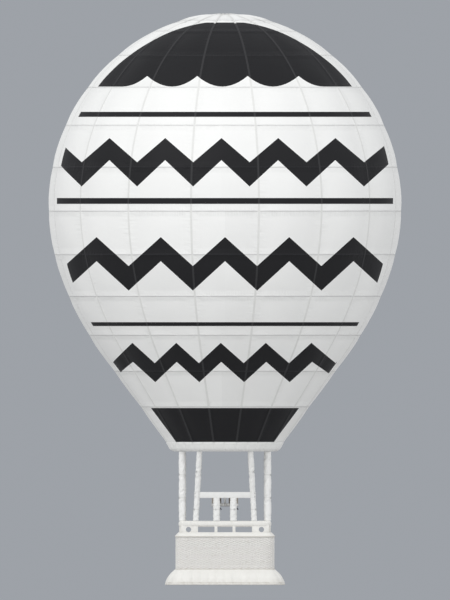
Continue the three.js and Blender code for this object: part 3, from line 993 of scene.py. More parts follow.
def joined(name, pieces):
    bpy.ops.object.select_all(action="DESELECT")
    for piece in pieces:
        piece.select_set(True)
    bpy.context.view_layer.objects.active = pieces[0]
    bpy.ops.object.join()
    pieces[0].name = name
    pieces[0].data.name = name
    return pieces[0]


def cut(piece, cutters):
    """Cuts holes, and removes the pieces that cut them."""
    for cutter in cutters:
        modify(piece, "BOOLEAN", object=cutter, operation="DIFFERENCE", solver="EXACT")
        bpy.data.objects.remove(cutter)
    return shade(piece)


print("helpers for round pieces and blocks ready")

# %% [markdown]
# Metal is told apart by its colour and by its fine marks: fine grinding lines on stainless steel,
# an even skin with a few rubbed spots on paint. One group makes both, from a row of METALS.

# %% The metals and paints
def worked_metal(group, given):
    place = coordinates(group)
    cloud = noise(group, place, 7.0, 6)
    lines = noise(group, stretched(group, place, (1, 1, 30)), 9.0, 3)
    scuff = noise(group, place, 38.0, 5)
    worn = calc(group, "GREATER_THAN", times(group, cloud, scuff), 0.4)
    worn = times(group, worn, given["Wear"])
    color = mix_color(group, worn, given["Color"], given["Worn Color"])
    color = toned(group, color, calc(group, "MULTIPLY_ADD", cloud, 0.16, 0.9))
    from_mean = minus(group, lines, 0.5)
    rough = calc(group, "MULTIPLY_ADD", from_mean, 0.3, given["Base Roughness"])
    rough = plus(group, rough, times(group, worn, 0.2))
    height = times(group, lines, given["Line Depth"])
    return color, rough, plus(group, height, times(group, scuff, 0.25))


WORKED_METAL = finish_group({"Color": (0.6, 0.6, 0.6), "Worn Color": (0.5, 0.5, 0.5), "Wear": 0.1,
                             "Base Roughness": 0.3, "Line Depth": 0.5}, worked_metal)
# name, colour, worn colour, wear, roughness, line depth, metallic
METALS = [
    ("white_paint", (0.82, 0.82, 0.8), (0.5, 0.5, 0.5), 0.25, 0.38, 0.1, 0.0),
    ("stainless", (0.62, 0.62, 0.61), (0.45, 0.44, 0.42), 0.3, 0.3, 0.6, 1.0),
    ("heated_steel", (0.5, 0.44, 0.37), (0.28, 0.24, 0.27), 0.6, 0.36, 0.5, 1.0),
    ("aluminium", (0.76, 0.77, 0.78), (0.6, 0.6, 0.6), 0.2, 0.34, 0.8, 1.0),
    ("brass", (0.72, 0.52, 0.22), (0.4, 0.27, 0.12), 0.4, 0.28, 0.3, 1.0),
    ("black_rubber", (0.02, 0.02, 0.02), (0.05, 0.05, 0.05), 0.5, 0.65, 0.2, 0.0),
]
FINISH = {}
for name, color, worn_color, wear, roughness, line_depth, metallic in METALS:
    values = {"Color": color, "Worn Color": worn_color, "Wear": wear,
              "Base Roughness": roughness, "Line Depth": line_depth}
    FINISH[name] = new_finish(name, WORKED_METAL, values, metallic=metallic, bump=0.25, depth=0.001)
print("finishes:", list(FINISH))

# %% [markdown]
# The crown ring is a heavy metal ring that all sixteen tapes loop round. A torus is flattened to
# the ring's section, and each tape is a strip over the opening that is modelled once and copied.

# %% The crown ring and its tapes
def crown_ring():
    inner, outer, thick = CROWN_RING["inner"], CROWN_RING["outer"], CROWN_RING["thick"]
    middle = (inner + outer) / 2
    piece = primitive("crown_ring", bpy.ops.mesh.primitive_torus_add, major_segments=64,
                      minor_segments=20, major_radius=middle, minor_radius=(outer - inner) / 2)
    bpy.ops.object.mode_set(mode="EDIT")
    bpy.ops.transform.resize(value=(1, 1, thick / (outer - inner)), center_override=(0, 0, 0))
    bpy.ops.object.mode_set(mode="OBJECT")
    set_in_place(shade(piece, math.radians(60)), (0, 0, dome_height(outer) + thick / 2))
    return belongs(piece, FINISH["aluminium"])


def crown_tape_path():
    """Radius and height of a tape's middle: round the ring, over the vent and on to the crown."""
    ring_low = dome_height(CROWN_RING["outer"])
    ring_high = ring_low + CROWN_RING["thick"]
    middle = (CROWN_RING["inner"] + CROWN_RING["outer"]) / 2
    path = [(0.3, ring_low + 0.0045), (0.2, ring_low + 0.001), (0.12, ring_low - 0.001)]
    path += [(0.104, ring_low + 0.008), (middle - 0.02, ring_high + 0.002)]
    path += [(middle + 0.015, ring_high + 0.002), (0.185, ring_high - 0.001), (0.24, ring_low + 0.01)]
    for radius in (0.32, 0.45, 0.6, 0.8, 1.0, 1.185, HOLE_RADIUS, 1.3, HOLE_RADIUS + 0.07):
        path.append((radius, min(dome_height(radius), ring_low) + 0.0055))
    return path


def crown_tapes():
    points = []
    faces = []
    path = crown_tape_path()
    half = TAPE_WIDTH / 2
    for radius, z in path:
        width = min(half, radius * math.tan(math.pi / GORES) * 0.96)
        points += [(radius, -width, z), (radius, width, z)]
    for i in range(len(path) - 1):
        faces.append((2 * i, 2 * i + 2, 2 * i + 3, 2 * i + 1))
    strip = new_mesh("crown_tapes", points, faces)
    thicken(strip, 0.003, 0)
    strips = [copy_of(strip, turn=(0, 0, (seam + 0.5) * 360 / GORES)) for seam in range(GORES)]
    bpy.data.objects.remove(strip)
    piece = joined("crown_tapes", strips)
    return belongs(piece, WEBBING["white"], nodes=["crown_ring_tapes"])


print(crown_ring().name, crown_tapes().name)

# %% [markdown]
# Padding is made in two steps. Code makes its shape, with the places where stitching pulls it in.
# Then Blender's cloth lets it grow and swell between the points that are held, such as stitches,
# which wrinkles it as real padding does. No point may move far, so it stays in its solid's space.

# %% The cloth of padded pieces
def stuffed_cloth(group, given):
    place = coordinates(group)
    x, y, z = separate(group, place)
    size = given["Weave Size"]
    along = calc(group, "SINE", times(group, plus(group, x, y), size))
    upward = calc(group, "SINE", times(group, z, size))
    weave = times(group, along, upward)
    cloud = noise(group, place, 3.0, 6)
    stain = times(group, noise(group, place, 9.0, 5), given["Soiling"])
    light = minus(group, calc(group, "MULTIPLY_ADD", cloud, 0.08, 0.99), stain)
    folds = times(group, noise(group, stretched(group, place, (1, 1, 2.2)), 16.0, 4), 2.0)
    height = plus(group, times(group, weave, 0.12), folds)
    return toned(group, given["Color"], light), calc(group, "MULTIPLY_ADD", cloud, 0.2, 0.6), height


STUFFED_CLOTH = finish_group({"Color": (1, 1, 1), "Soiling": 0.08, "Weave Size": 140.0}, stuffed_cloth)
SLEEVE_COLOR = (0.86, 0.86, 0.84)
FINISH["sleeve"] = new_finish("sleeve_cloth", STUFFED_CLOTH, {"Color": SLEEVE_COLOR},
                              depth=0.006, sheen=0.1)
print("finishes:", list(FINISH))

# %% Helpers for padded pieces
SWELL_FRAMES = 20
AT_STITCH = 0.999
STUFFING = {"mass": 0.15, "tension_stiffness": 12, "compression_stiffness": 12, "shear_stiffness": 6,
            "bending_stiffness": 0.6, "vertex_group_mass": "held", "use_pressure": True}


def swell(pieces, growth, pressure, most_moved):
    """Lets padded cloth grow and swell where it isn't held, by no more than a small distance."""
    before = {}
    for piece in pieces:
        before[piece] = [vertex.co.copy() for vertex in piece.data.vertices]
        cloth = piece.modifiers.new("swelling", "CLOTH")
        cloth.point_cache.frame_end = SWELL_FRAMES
        set_all(cloth.settings, STUFFING | {"shrink_min": -growth, "uniform_pressure_force": pressure})
        cloth.settings.effector_weights.gravity = 0
    for frame_number in range(1, SWELL_FRAMES + 1):
        bpy.context.scene.frame_set(frame_number)
    for piece, places in before.items():
        apply_modifiers(piece)
        for vertex, was in zip(piece.data.vertices, places):
            moved = vertex.co - was
            if moved.length > most_moved:
                vertex.co = was + moved * (most_moved / moved.length)
    bpy.context.scene.frame_set(1)


def finer(line, step):
    """The same open line of points, with none further apart than a step."""
    points = [line[0]]
    for (x0, z0), (x1, z1) in zip(line, line[1:]):
        count = math.ceil(math.hypot(x1 - x0, z1 - z0) / step)
        points += [(x0 + (x1 - x0) * i / count, z0 + (z1 - z0) * i / count) for i in range(1, count + 1)]
    return points


def stitched(share, stitches):
    """One at each of the stitches round a ring, falling to nothing half-way between two."""
    return abs(math.cos(math.pi * share * stitches))


def hold(piece, indices):
    piece.vertex_groups.new(name="held").add(list(indices), 1.0, "REPLACE")


print("helpers for padded pieces ready")

# %% [markdown]
# The mouth ring is a stiff padded band. It is turned by code from a rounded section, and cross
# stitching pulls it in between its pads.

# %% The mouth ring
MOUTH_PADS = 32
MOUTH_COLUMNS = MOUTH_PADS * 12
MOUTH_PULL = 0.012
MOUTH_OUTER = [
    (1.472, -5.9502), (1.452, -5.985), (1.424, -6.035), (1.396, -6.085), (1.366, -6.128),
    (1.33, -6.156), (1.29, -6.176), (1.25, -6.1855),
]
MOUTH_INNER = [
    (1.165, -6.1865), (1.1, -6.1855), (1.082, -6.172), (1.083, -6.132), (1.12, -6.11),
    (1.21, -6.07), (1.32, -6.01), (1.4, -5.957), (1.414, -5.9502),
]


def mouth_ring():
    outer = finer(MOUTH_OUTER, 0.025)
    section = outer + MOUTH_INNER
    points = []
    held = []
    for i, (radius, z) in enumerate(section):
        free = 0 < i < len(outer) - 1
        for column in range(MOUTH_COLUMNS):
            share = column / MOUTH_COLUMNS
            stitch = stitched(share, MOUTH_PADS)
            if not free or stitch > AT_STITCH:
                held.append(len(points))
            pulled = radius - (MOUTH_PULL * stitch**12 if free else 0)
            points.append(about_axis(2 * math.pi * share, pulled, z))
    faces = [tuple(reversed(f)) for f in ring_faces(len(section), MOUTH_COLUMNS, closed_rows=True)]
    piece = new_mesh("mouth_band", points, faces)
    hold(piece, held)
    swell([piece], growth=0.03, pressure=2.5, most_moved=0.012)
    belongs(piece, FINISH["sleeve"], nodes=["mouth_ring"])
    return piece


print(mouth_ring().name)

# %% [markdown]
# The uprights are poles in padded sleeves. The frame is hidden inside, so only the sleeves are
# made: a soft tube with a flap where it is laced, pulled in at the straps and narrow at its cuffs.
# The tube leans with its pole, as its solid does, and keeps level ends. Its rings at the straps and
# the cuffs are held while the rest swells.

# %% The sleeves of the uprights
RAIL_TOP = -7.922
MOUTH_BOTTOM = -6.187
OUTER_POST = {"x": 1.065, "y": 0.56, "radius": 0.0865}
INNER_POST = {"foot_x": 0.731, "head_x": 0.637, "head_y": 1.018, "radius": 0.069}
SHORT_POST = {"x": 0.21, "radius": 0.0825}
LOAD_FRAME = {"top": -7.2, "bottom": -7.35, "x": 0.697, "y": 0.726, "front_bar": 0.07,
              "side_bar": 0.06, "socket": 0.075}
QUARTERS = {"front_left": (-1, -1), "front_right": (1, -1), "back_left": (-1, 1), "back_right": (1, 1)}
SLEEVE_SIDES = 40
SLEEVE_STEP = 0.0175
SLEEVE_GAP = 0.0008
CUFF_LENGTH = 0.06
CUFF_ROUND = 0.03
FLAP = {"half_angle": 0.32, "rise": 0.004}
CUFF_TAPER = 0.1
CRUMPLE = 0.0014
PINCH = {"depth": 0.003, "reach": 0.05}
STRAP_PITCH = 0.6
STRAP = {"width": 0.026, "rise": 0.0015}


def inner_x(z):
    share = (z - RAIL_TOP) / (MOUTH_BOTTOM - RAIL_TOP)
    return part_way(INNER_POST["foot_x"], INNER_POST["head_x"], share)


def strap_places(length):
    count = max(1, round(length / STRAP_PITCH) - 1)
    return [length * (i + 1) / (count + 1) for i in range(count)]


def sleeve_radius(radius, along, length, angle, flap_angle):
    """The sleeve's radius at a length along it and an angle round it."""
    from_end = min(along, length - along)
    value = radius
    if from_end < CUFF_ROUND:
        value -= radius * CUFF_TAPER * (1 - from_end / CUFF_ROUND) ** 2
    for place in strap_places(length) + [CUFF_LENGTH, length - CUFF_LENGTH]:
        value -= PINCH["depth"] * max(0.0, 1 - abs(along - place) / PINCH["reach"])
    value += CRUMPLE * math.sin(along * 41 + 3 * math.sin(angle * 2)) * math.sin(angle * 3 + along * 9)
    from_flap = abs((angle - flap_angle + math.pi) % (2 * math.pi) - math.pi)
    if from_flap < FLAP["half_angle"]:
        value += FLAP["rise"]
    return value


def sleeve(name, foot, head, radius, nodes):
    length = head[2] - foot[2]
    rows = max(6, round(length / SLEEVE_STEP))
    flap_angle = math.atan2(-foot[1], -foot[0])
    points = []
    held = []
    for row in range(rows + 1):
        share = row / rows
        tight = [0, CUFF_LENGTH, length - CUFF_LENGTH, length] + strap_places(length)
        if any(abs(share * length - place) <= STRAP["width"] / 2 for place in tight):
            held += range(row * SLEEVE_SIDES, (row + 1) * SLEEVE_SIDES)
        centre = [part_way(f, h, share) for f, h in zip(foot, head)]
        for side in range(SLEEVE_SIDES):
            angle = 2 * math.pi * side / SLEEVE_SIDES
            reach = sleeve_radius(radius, share * length, length, angle, flap_angle)
            points.append((*around_point(*centre[:2], reach, angle), centre[2]))
    faces = ring_faces(rows + 1, SLEEVE_SIDES)
    faces.append(tuple(reversed(range(SLEEVE_SIDES))))
    faces.append(tuple(range(rows * SLEEVE_SIDES, (rows + 1) * SLEEVE_SIDES)))
    piece = new_mesh(name, points, faces)
    shade(piece, math.radians(50))
    hold(piece, held)
    belongs(piece, FINISH["sleeve"], nodes=nodes)
    return piece, (foot, head, radius, length)


def upright_ends(kind, x, y):
    foot_z = RAIL_TOP + SLEEVE_GAP
    head_z = MOUTH_BOTTOM - SLEEVE_GAP
    under = LOAD_FRAME["bottom"] - SLEEVE_GAP
    over = LOAD_FRAME["top"] + SLEEVE_GAP
    front = y * LOAD_FRAME["y"]
    if kind == "outer_post":
        place = (x * OUTER_POST["x"], y * OUTER_POST["y"])
        return (*place, foot_z), (*place, head_z), OUTER_POST["radius"]
    if kind == "frame_post":
        return (x * inner_x(foot_z), front, foot_z), (x * inner_x(under), front, under), INNER_POST["radius"]
    if kind == "riser":
        head = (x * INNER_POST["head_x"], y * INNER_POST["head_y"], head_z)
        return (x * inner_x(over), front, over), head, INNER_POST["radius"]
    return (x * SHORT_POST["x"], front, foot_z), (x * SHORT_POST["x"], front, under), SHORT_POST["radius"]


sleeves = []
sleeve_pieces = []
for kind in ("outer_post", "frame_post", "riser", "short_post"):
    for place, (x, y) in QUARTERS.items():
        foot, head, radius = upright_ends(kind, x, y)
        piece, sizes = sleeve(f"sleeve_{kind}_{place}", foot, head, radius, [f"{kind}_{place}"])
        sleeve_pieces.append(piece)
        sleeves.append(sizes)
swell(sleeve_pieces, growth=0.035, pressure=2.5, most_moved=0.009)
print("sleeves:", len(sleeves))

# %% [markdown]
# Webbing straps close each sleeve, with a small metal buckle on the outside. One strap is a round
# band from the same helper as the metal, and every other strap is a copy of it.

# %% The straps and buckles on the sleeves
def strap_stations(inner, outer, half, z=0):
    """A strap's band with a crowned middle."""
    return [(inner, z - half), (outer, z - half), (outer + 0.001, z), (outer, z + half), (inner, z + half)]


def strap_band(radius):
    return drawn_up("strap", strap_stations(radius - 0.006, radius + STRAP["rise"], STRAP["width"] / 2))


def buckle():
    frame_part = shaped_block("buckle", (0.012, 0.034, 0.044), (0, 0, 0), 0.004, 2)
    hole = shaped_block("buckle_hole", (0.05, 0.018, 0.028), (0, 0, 0), 0.002, 1)
    cut(frame_part, [hole])
    bar = drawn_up("buckle_bar", [(0.002, -0.015), (0.002, 0.015)], sides=8)
    return joined("buckle", [frame_part, bar])


strap_sizes = {radius: strap_band(radius) for radius in sorted({s[2] for s in sleeves})}
model_buckle = buckle()
straps = []
buckles = []
for foot, head, radius, length in sleeves:
    outward = math.degrees(math.atan2(foot[1], foot[0]))
    for place in strap_places(length):
        share = place / length
        centre = [part_way(f, h, share) for f, h in zip(foot, head)]
        straps.append(copy_of(strap_sizes[radius], centre))
        spot = (*around_point(*centre[:2], radius + 0.003, math.radians(outward)), centre[2])
        buckles.append(copy_of(model_buckle, spot, (0, 0, outward)))
for model in list(strap_sizes.values()) + [model_buckle]:
    bpy.data.objects.remove(model)
belongs(joined("sleeve_straps", straps), WEBBING["white"])
belongs(joined("sleeve_buckles", buckles), FINISH["stainless"])
print("straps:", len(straps))

# %% [markdown]
# The load frame is a welded steel box frame, painted white. Its front bar is the bar across the
# middle of the drawing. Bars and sockets are blocks and round pieces that run into each other, as
# welded tubes do, and the pins' bearings are bored through the side bars.

# %% The load frame
FRAME_MIDDLE = (LOAD_FRAME["top"] + LOAD_FRAME["bottom"]) / 2
FRAME_HEIGHT = LOAD_FRAME["top"] - LOAD_FRAME["bottom"]
PIN = {"radius": 0.014, "clearance": 0.0007, "boss": 0.026}
BOLT = {"radius": 0.011, "height": 0.008}
FLANGE_BOLTS = 0.039
SOCKET_BOLTS = (-0.045, 0.045)
FLANGE = [(0.05, -0.004), (0.05, 0.004), (0.047, 0.006), (0.03, 0.006), (0.028, 0.009),
          (0.0165, 0.009), (0.0155, 0.0085), (0.0155, -0.004)]


def bolt():
    """A bolt's six-sided head on a washer, standing on the origin along +Z."""
    radius, height = BOLT["radius"], BOLT["height"]
    washer = drawn_up("washer", [(radius * 1.5, 0), (radius * 1.5, 0.002)], sides=20)
    chamfer = radius * 0.85
    head = drawn_up("head", [(radius, 0.002), (radius, height), (chamfer, height + 0.0015)], sides=6)
    return joined("bolt", [washer, head])


def load_frame():
    bars = []
    bolts = []
    model = bolt()
    half = FRAME_HEIGHT / 2
    for side in (-1, 1):
        bars.append(shaped_block("front_bar", (2 * LOAD_FRAME["x"], LOAD_FRAME["front_bar"], FRAME_HEIGHT),
                                 (0, side * LOAD_FRAME["y"], FRAME_MIDDLE), 0.009, 3))
        side_bar = shaped_block("side_bar", (LOAD_FRAME["side_bar"], 2 * LOAD_FRAME["y"], FRAME_HEIGHT),
                                (side * LOAD_FRAME["x"], 0, FRAME_MIDDLE), 0.009, 3)
        bore = PIN["radius"] + PIN["clearance"]
        reach = 0.1
        drill = drawn_up("drill", [(bore, -reach), (bore, reach)], (side * LOAD_FRAME["x"], 0, FRAME_MIDDLE),
                         (0, 90, 0))
        bars.append(cut(side_bar, [drill]))
        face = LOAD_FRAME["x"] + LOAD_FRAME["side_bar"] / 2
        bars.append(drawn_up("bearing_flange", FLANGE, (side * (face - 0.001), 0, FRAME_MIDDLE),
                             (0, 90 * side, 0)))
        for step in range(4):
            y, z = around_point(0, FRAME_MIDDLE, FLANGE_BOLTS, math.radians(45 + 90 * step))
            spot = (side * (face + 0.004), y, z)
            bolts.append(copy_of(model, spot, (0, 90 * side, 0)))
        for end in (-1, 1):
            radius = LOAD_FRAME["socket"]
            rim = [(0.004, -half), (0, -half + 0.004), (0, -half + 0.022), (0.003, -half + 0.024),
                   (0.003, half - 0.024), (0, half - 0.022), (0, half - 0.004), (0.004, half)]
            corner = (side * LOAD_FRAME["x"], end * LOAD_FRAME["y"], FRAME_MIDDLE)
            bars.append(drawn_up("socket", [(radius - back, z) for back, z in rim], corner, sides=40))
            for height in SOCKET_BOLTS:
                turn = math.atan2(corner[1], corner[0])
                spot = (*around_point(*corner[:2], radius - 0.004, turn), FRAME_MIDDLE + height)
                bolts.append(copy_of(model, spot, (0, 90, math.degrees(turn))))
    bpy.data.objects.remove(model)
    frame = joined("load_frame_welded", bars)
    belongs(frame, FINISH["white_paint"], nodes=["load_frame"])
    belongs(joined("load_frame_bolts", bolts), FINISH["stainless"])
    return frame


print(load_frame().name)

# %% [markdown]
# The gimbal is a ring of square bar with round corners. A plane is sized to its outside, its
# corners are bevelled, an inset makes the bar's width and the middle is deleted. Then it is
# extruded to its height and gets its two pins and the two bores for the burner's pins.

# %% The gimbal
GIMBAL = {"x": 0.6, "y": 0.34, "bar": 0.04, "corner": 0.06}
SIDE_CLEARANCE = 0.006
BEARING_RING = [(0.03, -0.002), (0.03, 0.006), (0.027, 0.008), (0.0165, 0.008), (0.0155, 0.0075),
                (0.0155, -0.002)]


def gimbal_ring():
    half = GIMBAL["bar"] / 2
    outer_x = GIMBAL["x"] + half
    outer_y = GIMBAL["y"] + half
    piece = sized(primitive("gimbal_ring", bpy.ops.mesh.primitive_plane_add, size=2), (outer_x, outer_y, 1))
    open_mesh()
    bpy.ops.mesh.bevel(offset=GIMBAL["corner"] + half, segments=8, affect="VERTICES")
    bpy.ops.mesh.select_all(action="SELECT")
    bpy.ops.mesh.inset(thickness=GIMBAL["bar"], use_even_offset=True)
    bpy.ops.mesh.delete(type="FACE")
    bpy.ops.mesh.select_all(action="SELECT")
    bpy.ops.mesh.extrude_region_move(TRANSFORM_OT_translate={"value": (0, 0, GIMBAL["bar"])})
    turned_outwards()
    modify(piece, "BEVEL", width=0.003, segments=2, limit_method="ANGLE", angle_limit=math.radians(50))
    return set_in_place(shade(piece), (0, 0, FRAME_MIDDLE - half))


def pin_stations(start, end):
    """A pin with a small chamfer at its end."""
    radius = PIN["radius"]
    return [(radius, start), (radius, end - 0.002), (radius - 0.002, end)]


def gimbal():
    ring = gimbal_ring()
    bore = PIN["radius"] + PIN["clearance"]
    drills = [drawn_up("drill", [(bore, -0.06), (bore, 0.06)], (0, y * GIMBAL["y"], FRAME_MIDDLE), (90, 0, 0))
              for y in (-1, 1)]
    pieces = [cut(ring, drills)]
    reach = LOAD_FRAME["x"] + LOAD_FRAME["side_bar"] / 2 + 0.01 - GIMBAL["x"]
    collar = LOAD_FRAME["x"] - LOAD_FRAME["side_bar"] / 2 - SIDE_CLEARANCE - GIMBAL["x"]
    for side in (-1, 1):
        boss = [(PIN["boss"] + 0.006, 0.01), (PIN["boss"], 0.03), (PIN["boss"], collar - 0.002),
                (PIN["boss"] - 0.002, collar)]
        place = (side * GIMBAL["x"], 0, FRAME_MIDDLE)
        pieces.append(drawn_up("pin", pin_stations(0, reach), place, (0, 90 * side, 0)))
        pieces.append(drawn_up("boss", boss, place, (0, 90 * side, 0)))
        ring_out = GIMBAL["y"] + GIMBAL["bar"] / 2
        pieces.append(drawn_up("bearing_ring", BEARING_RING, (0, side * ring_out, FRAME_MIDDLE),
                               (-90 * side, 0, 0)))
    return belongs(joined("gimbal_bar", pieces), FINISH["stainless"], "gimbal", ["gimbal_frame"])


print(gimbal().name)

# %% [markdown]
# The burner block holds the valves. Two cans stand on it, either side of a yoke plate that carries
# the whole burner on two pins. Under it are the four inlets, and in front the levers and gauges.

# %% The burner block
BURNER = {"x": 0.21, "radius": 0.118, "wall": 0.005, "top": -7.205, "base": -7.48}
BLOCK = {"x": 0.34, "y": 0.095, "bottom": -7.56}
YOKE = {"x": 0.028, "y": 0.3, "top": -7.24}
PIN_SHOULDER = [(0.026, -0.004), (0.026, 0.012), (0.024, 0.014)]
INLET = {"x": 0.26, "y": 0.04, "radius": 0.032}
# share of the inlet's radius, and how far below the block's lower face
INLET_STATIONS = [(0.7, 0.068), (0.75, 0.066), (0.75, 0.05), (0.6, 0.047), (0.6, 0.04), (1, 0.037),
                  (1, 0.012), (0.85, 0.009), (0.85, 0)]
# the middles of the controls on the block's front
HEIGHTS = {"valve": -7.52, "lever": -7.552, "grip": -7.575, "pilot": -7.535, "gauge": -7.515, "hand": -7.509}
VALVE_BODY = [(0.026, 0), (0.026, 0.03), (0.02, 0.034), (0.02, 0.045), (0.012, 0.047)]
LEVER_GRIP = [(0.009, 0), (0.0125, 0.006), (0.011, 0.03), (0.0125, 0.055), (0.012, 0.082), (0.008, 0.088)]
PILOT_KNOB = [(0.017, 0.024), (0.019, 0.027), (0.019, 0.038), (0.015, 0.042)]
GAUGE_CASE = [(0.012, 0), (0.012, 0.014), (0.031, 0.016), (0.032, 0.02), (0.032, 0.034), (0.03, 0.037),
              (0.0275, 0.037), (0.0275, 0.031)]


def burner_block():
    height = BURNER["base"] - BLOCK["bottom"]
    middle = (BURNER["base"] + BLOCK["bottom"]) / 2
    pieces = [shaped_block("valve_block", (2 * BLOCK["x"], 2 * BLOCK["y"], height), (0, 0, middle), 0.01, 3)]
    yoke_height = YOKE["top"] - BURNER["base"] + 0.004
    yoke = shaped_block("yoke", (2 * YOKE["x"], 2 * YOKE["y"], yoke_height),
                        (0, 0, YOKE["top"] - yoke_height / 2), 0.007, 2)
    windows = [shaped_block("window", (0.1, 0.15, 0.1), (0, y * 0.14, -7.365), 0.02, 3) for y in (-1, 1)]
    pieces.append(cut(yoke, windows))
    pin_reach = GIMBAL["y"] + GIMBAL["bar"] / 2 + 0.006 - YOKE["y"]
    for side in (-1, 1):
        place = (0, side * YOKE["y"], FRAME_MIDDLE)
        pieces.append(drawn_up("pin", pin_stations(-0.004, pin_reach), place, (-90 * side, 0, 0)))
        pieces.append(drawn_up("shoulder", PIN_SHOULDER, place, (-90 * side, 0, 0)))
    piece = joined("burner_block_machined", pieces)
    return belongs(piece, FINISH["stainless"], "burner", ["burner_block"])


def burner_inlets():
    pieces = []
    top = BLOCK["bottom"] + 0.003
    for x in (-INLET["x"], INLET["x"]):
        for y in (-INLET["y"], INLET["y"]):
            stations = [(INLET["radius"] * share, top - below) for share, below in INLET_STATIONS]
            pieces.append(drawn_up("inlet", stations, (x, y, 0), sides=24))
    return belongs(joined("burner_inlets", pieces), FINISH["brass"], "burner")


def burner_controls():
    """Two blast levers, two pilot knobs and two plain gauges on the front of the block."""
    levers = []
    grips = []
    dials = []
    front = -BLOCK["y"]
    forward = (90, 0, 0)
    root = front + 0.004
    before = front - 0.038
    for x in (-BURNER["x"], BURNER["x"]):
        stem = x - 0.07
        levers.append(drawn_up("valve", VALVE_BODY, (x, root, HEIGHTS["valve"]), forward))
        levers.append(shaped_block("lever", (0.016, 0.012, 0.17), (x + 0.05, before, HEIGHTS["lever"]),
                                   0.003, 2, (0, -38, 0)))
        grips.append(drawn_up("grip", LEVER_GRIP, (x + 0.068, before, HEIGHTS["grip"]), (0, 142, 0),
                              sides=20))
        levers.append(drawn_up("pilot_stem", [(0.008, 0), (0.008, 0.03)], (stem, root, HEIGHTS["pilot"]),
                               forward))
        grips.append(drawn_up("pilot_knob", PILOT_KNOB, (stem, front, HEIGHTS["pilot"]), forward, sides=12))
    for x in (-0.04, 0.04):
        place = (x, root, HEIGHTS["gauge"])
        levers.append(drawn_up("gauge", GAUGE_CASE, place, forward))
        dials.append(drawn_up("dial", [(0.028, 0.03), (0.028, 0.0335)], place, forward))
        grips.append(shaped_block("hand", (0.0025, 0.001, 0.03), (x + 0.006, front - 0.031, HEIGHTS["hand"]),
                                  0.0003, 1, (0, 42, 0)))
    belongs(joined("burner_levers", levers), FINISH["stainless"], "burner")
    belongs(joined("burner_grips", grips), FINISH["black_rubber"], "burner")
    belongs(joined("gauge_dials", dials), FINISH["white_paint"], "burner")


print(burner_block().name, burner_inlets().name)
burner_controls()

# %% [markdown]
# Each can is drawn up with its wall and rolled rim. Inside it the liquid gas runs through a coil
# before it burns: the Screw modifier winds a small circle upwards. A ring of jets lies below.

# %% The burner cans and coils
COIL = {"radius": 0.084, "tube": 0.0065, "turns": 6, "rise": 0.027, "start": -7.425, "steps": 40}
JET_RING = 0.062
PILOT = [(0.02, 0.012), (0.02, 0.05), (0.023, 0.055), (0.023, 0.085), (0.019, 0.085), (0.019, 0.06)]


def burner_can(side):
    base = BURNER["base"] + RESTING_GAP
    radius, wall, top = BURNER["radius"], BURNER["wall"], BURNER["top"]
    stations = [(radius - 0.01, base), (radius - 0.002, base), (radius, base + 0.004), (radius, base + 0.03),
                (radius - 0.0015, base + 0.032), (radius - 0.0015, base + 0.06), (radius, base + 0.062),
                (radius, top - 0.02), (radius + 0.002, top - 0.016), (radius + 0.003, top - 0.008),
                (radius + 0.001, top - 0.001), (radius - wall, top), (radius - wall - 0.001, top - 0.006),
                (radius - wall, top - 0.02), (radius - wall, base + 0.01), (radius - 0.03, base + 0.01)]
    return drawn_up("burner_can", stations, (side * BURNER["x"], 0, 0), sides=56)


def vent_holes(side):
    """Dark oval openings round the can's foot, which let the air in."""
    holes = []
    for step in range(20):
        turn = math.radians(step * 18)
        spot = (*around_point(side * BURNER["x"], 0, BURNER["radius"], turn), BURNER["base"] + 0.046)
        holes.append(drawn_up("air_hole", [(0.0085, -0.014), (0.0085, 0.014)], spot,
                              (0, 90, math.degrees(turn)), sides=12))
    return holes


def burner_coil(side):
    coil = primitive("burner_coil", bpy.ops.mesh.primitive_circle_add, vertices=10, radius=COIL["tube"],
                     rotation=(math.radians(90), 0, 0), location=(COIL["radius"], 0, COIL["start"]))
    bpy.ops.object.transform_apply(location=True, rotation=True, scale=True)
    modify(coil, "SCREW", screw_offset=COIL["rise"], iterations=COIL["turns"], steps=COIL["steps"],
           render_steps=COIL["steps"], use_smooth_shade=True)
    open_mesh()
    bpy.ops.mesh.fill_holes(sides=0)
    turned_outwards()
    return set_in_place(coil, (side * BURNER["x"], 0, 0))


def burner_jets(side):
    """A ring of pipe with small jets, and the pilot light in its middle."""
    x = side * BURNER["x"]
    z = BURNER["base"] + 0.035
    pipe = primitive("jet_ring", bpy.ops.mesh.primitive_torus_add, major_segments=40, minor_segments=10,
                     major_radius=JET_RING, minor_radius=0.008, location=(x, 0, z))
    pieces = [set_in_place(shade(pipe, math.radians(60)))]
    for step in range(12):
        spot = (*around_point(x, 0, JET_RING, math.radians(step * 30)), z + 0.006)
        pieces.append(drawn_up("jet", [(0.004, 0), (0.004, 0.01), (0.0025, 0.012)], spot, sides=8))
    pieces.append(drawn_up("pilot", [(r, BURNER["base"] + h) for r, h in PILOT], (x, 0, 0)))
    pieces.append(drawn_up("feed", [(0.006, BURNER["base"] + 0.01), (0.006, COIL["start"])],
                           (x + COIL["radius"], 0, 0), sides=10))
    return pieces


for place, side in (("left", -1), ("right", 1)):
    can = welded(cut(burner_can(side), vent_holes(side)))
    can.name = f"burner_shroud_{place}"
    belongs(can, FINISH["heated_steel"], "burner", [f"burner_can_{place}"])
    inside = joined(f"burner_coil_{place}", [burner_coil(side)] + burner_jets(side))
    belongs(inside, FINISH["heated_steel"], "burner")
print("cans: 2, turns of each coil:", COIL["turns"])

# %% [markdown]
# The basket's outline is a rectangle with round corners. Everything that runs round it, from the
# rail down to the foot, is laid out by its length along this outline and its distance out from it.

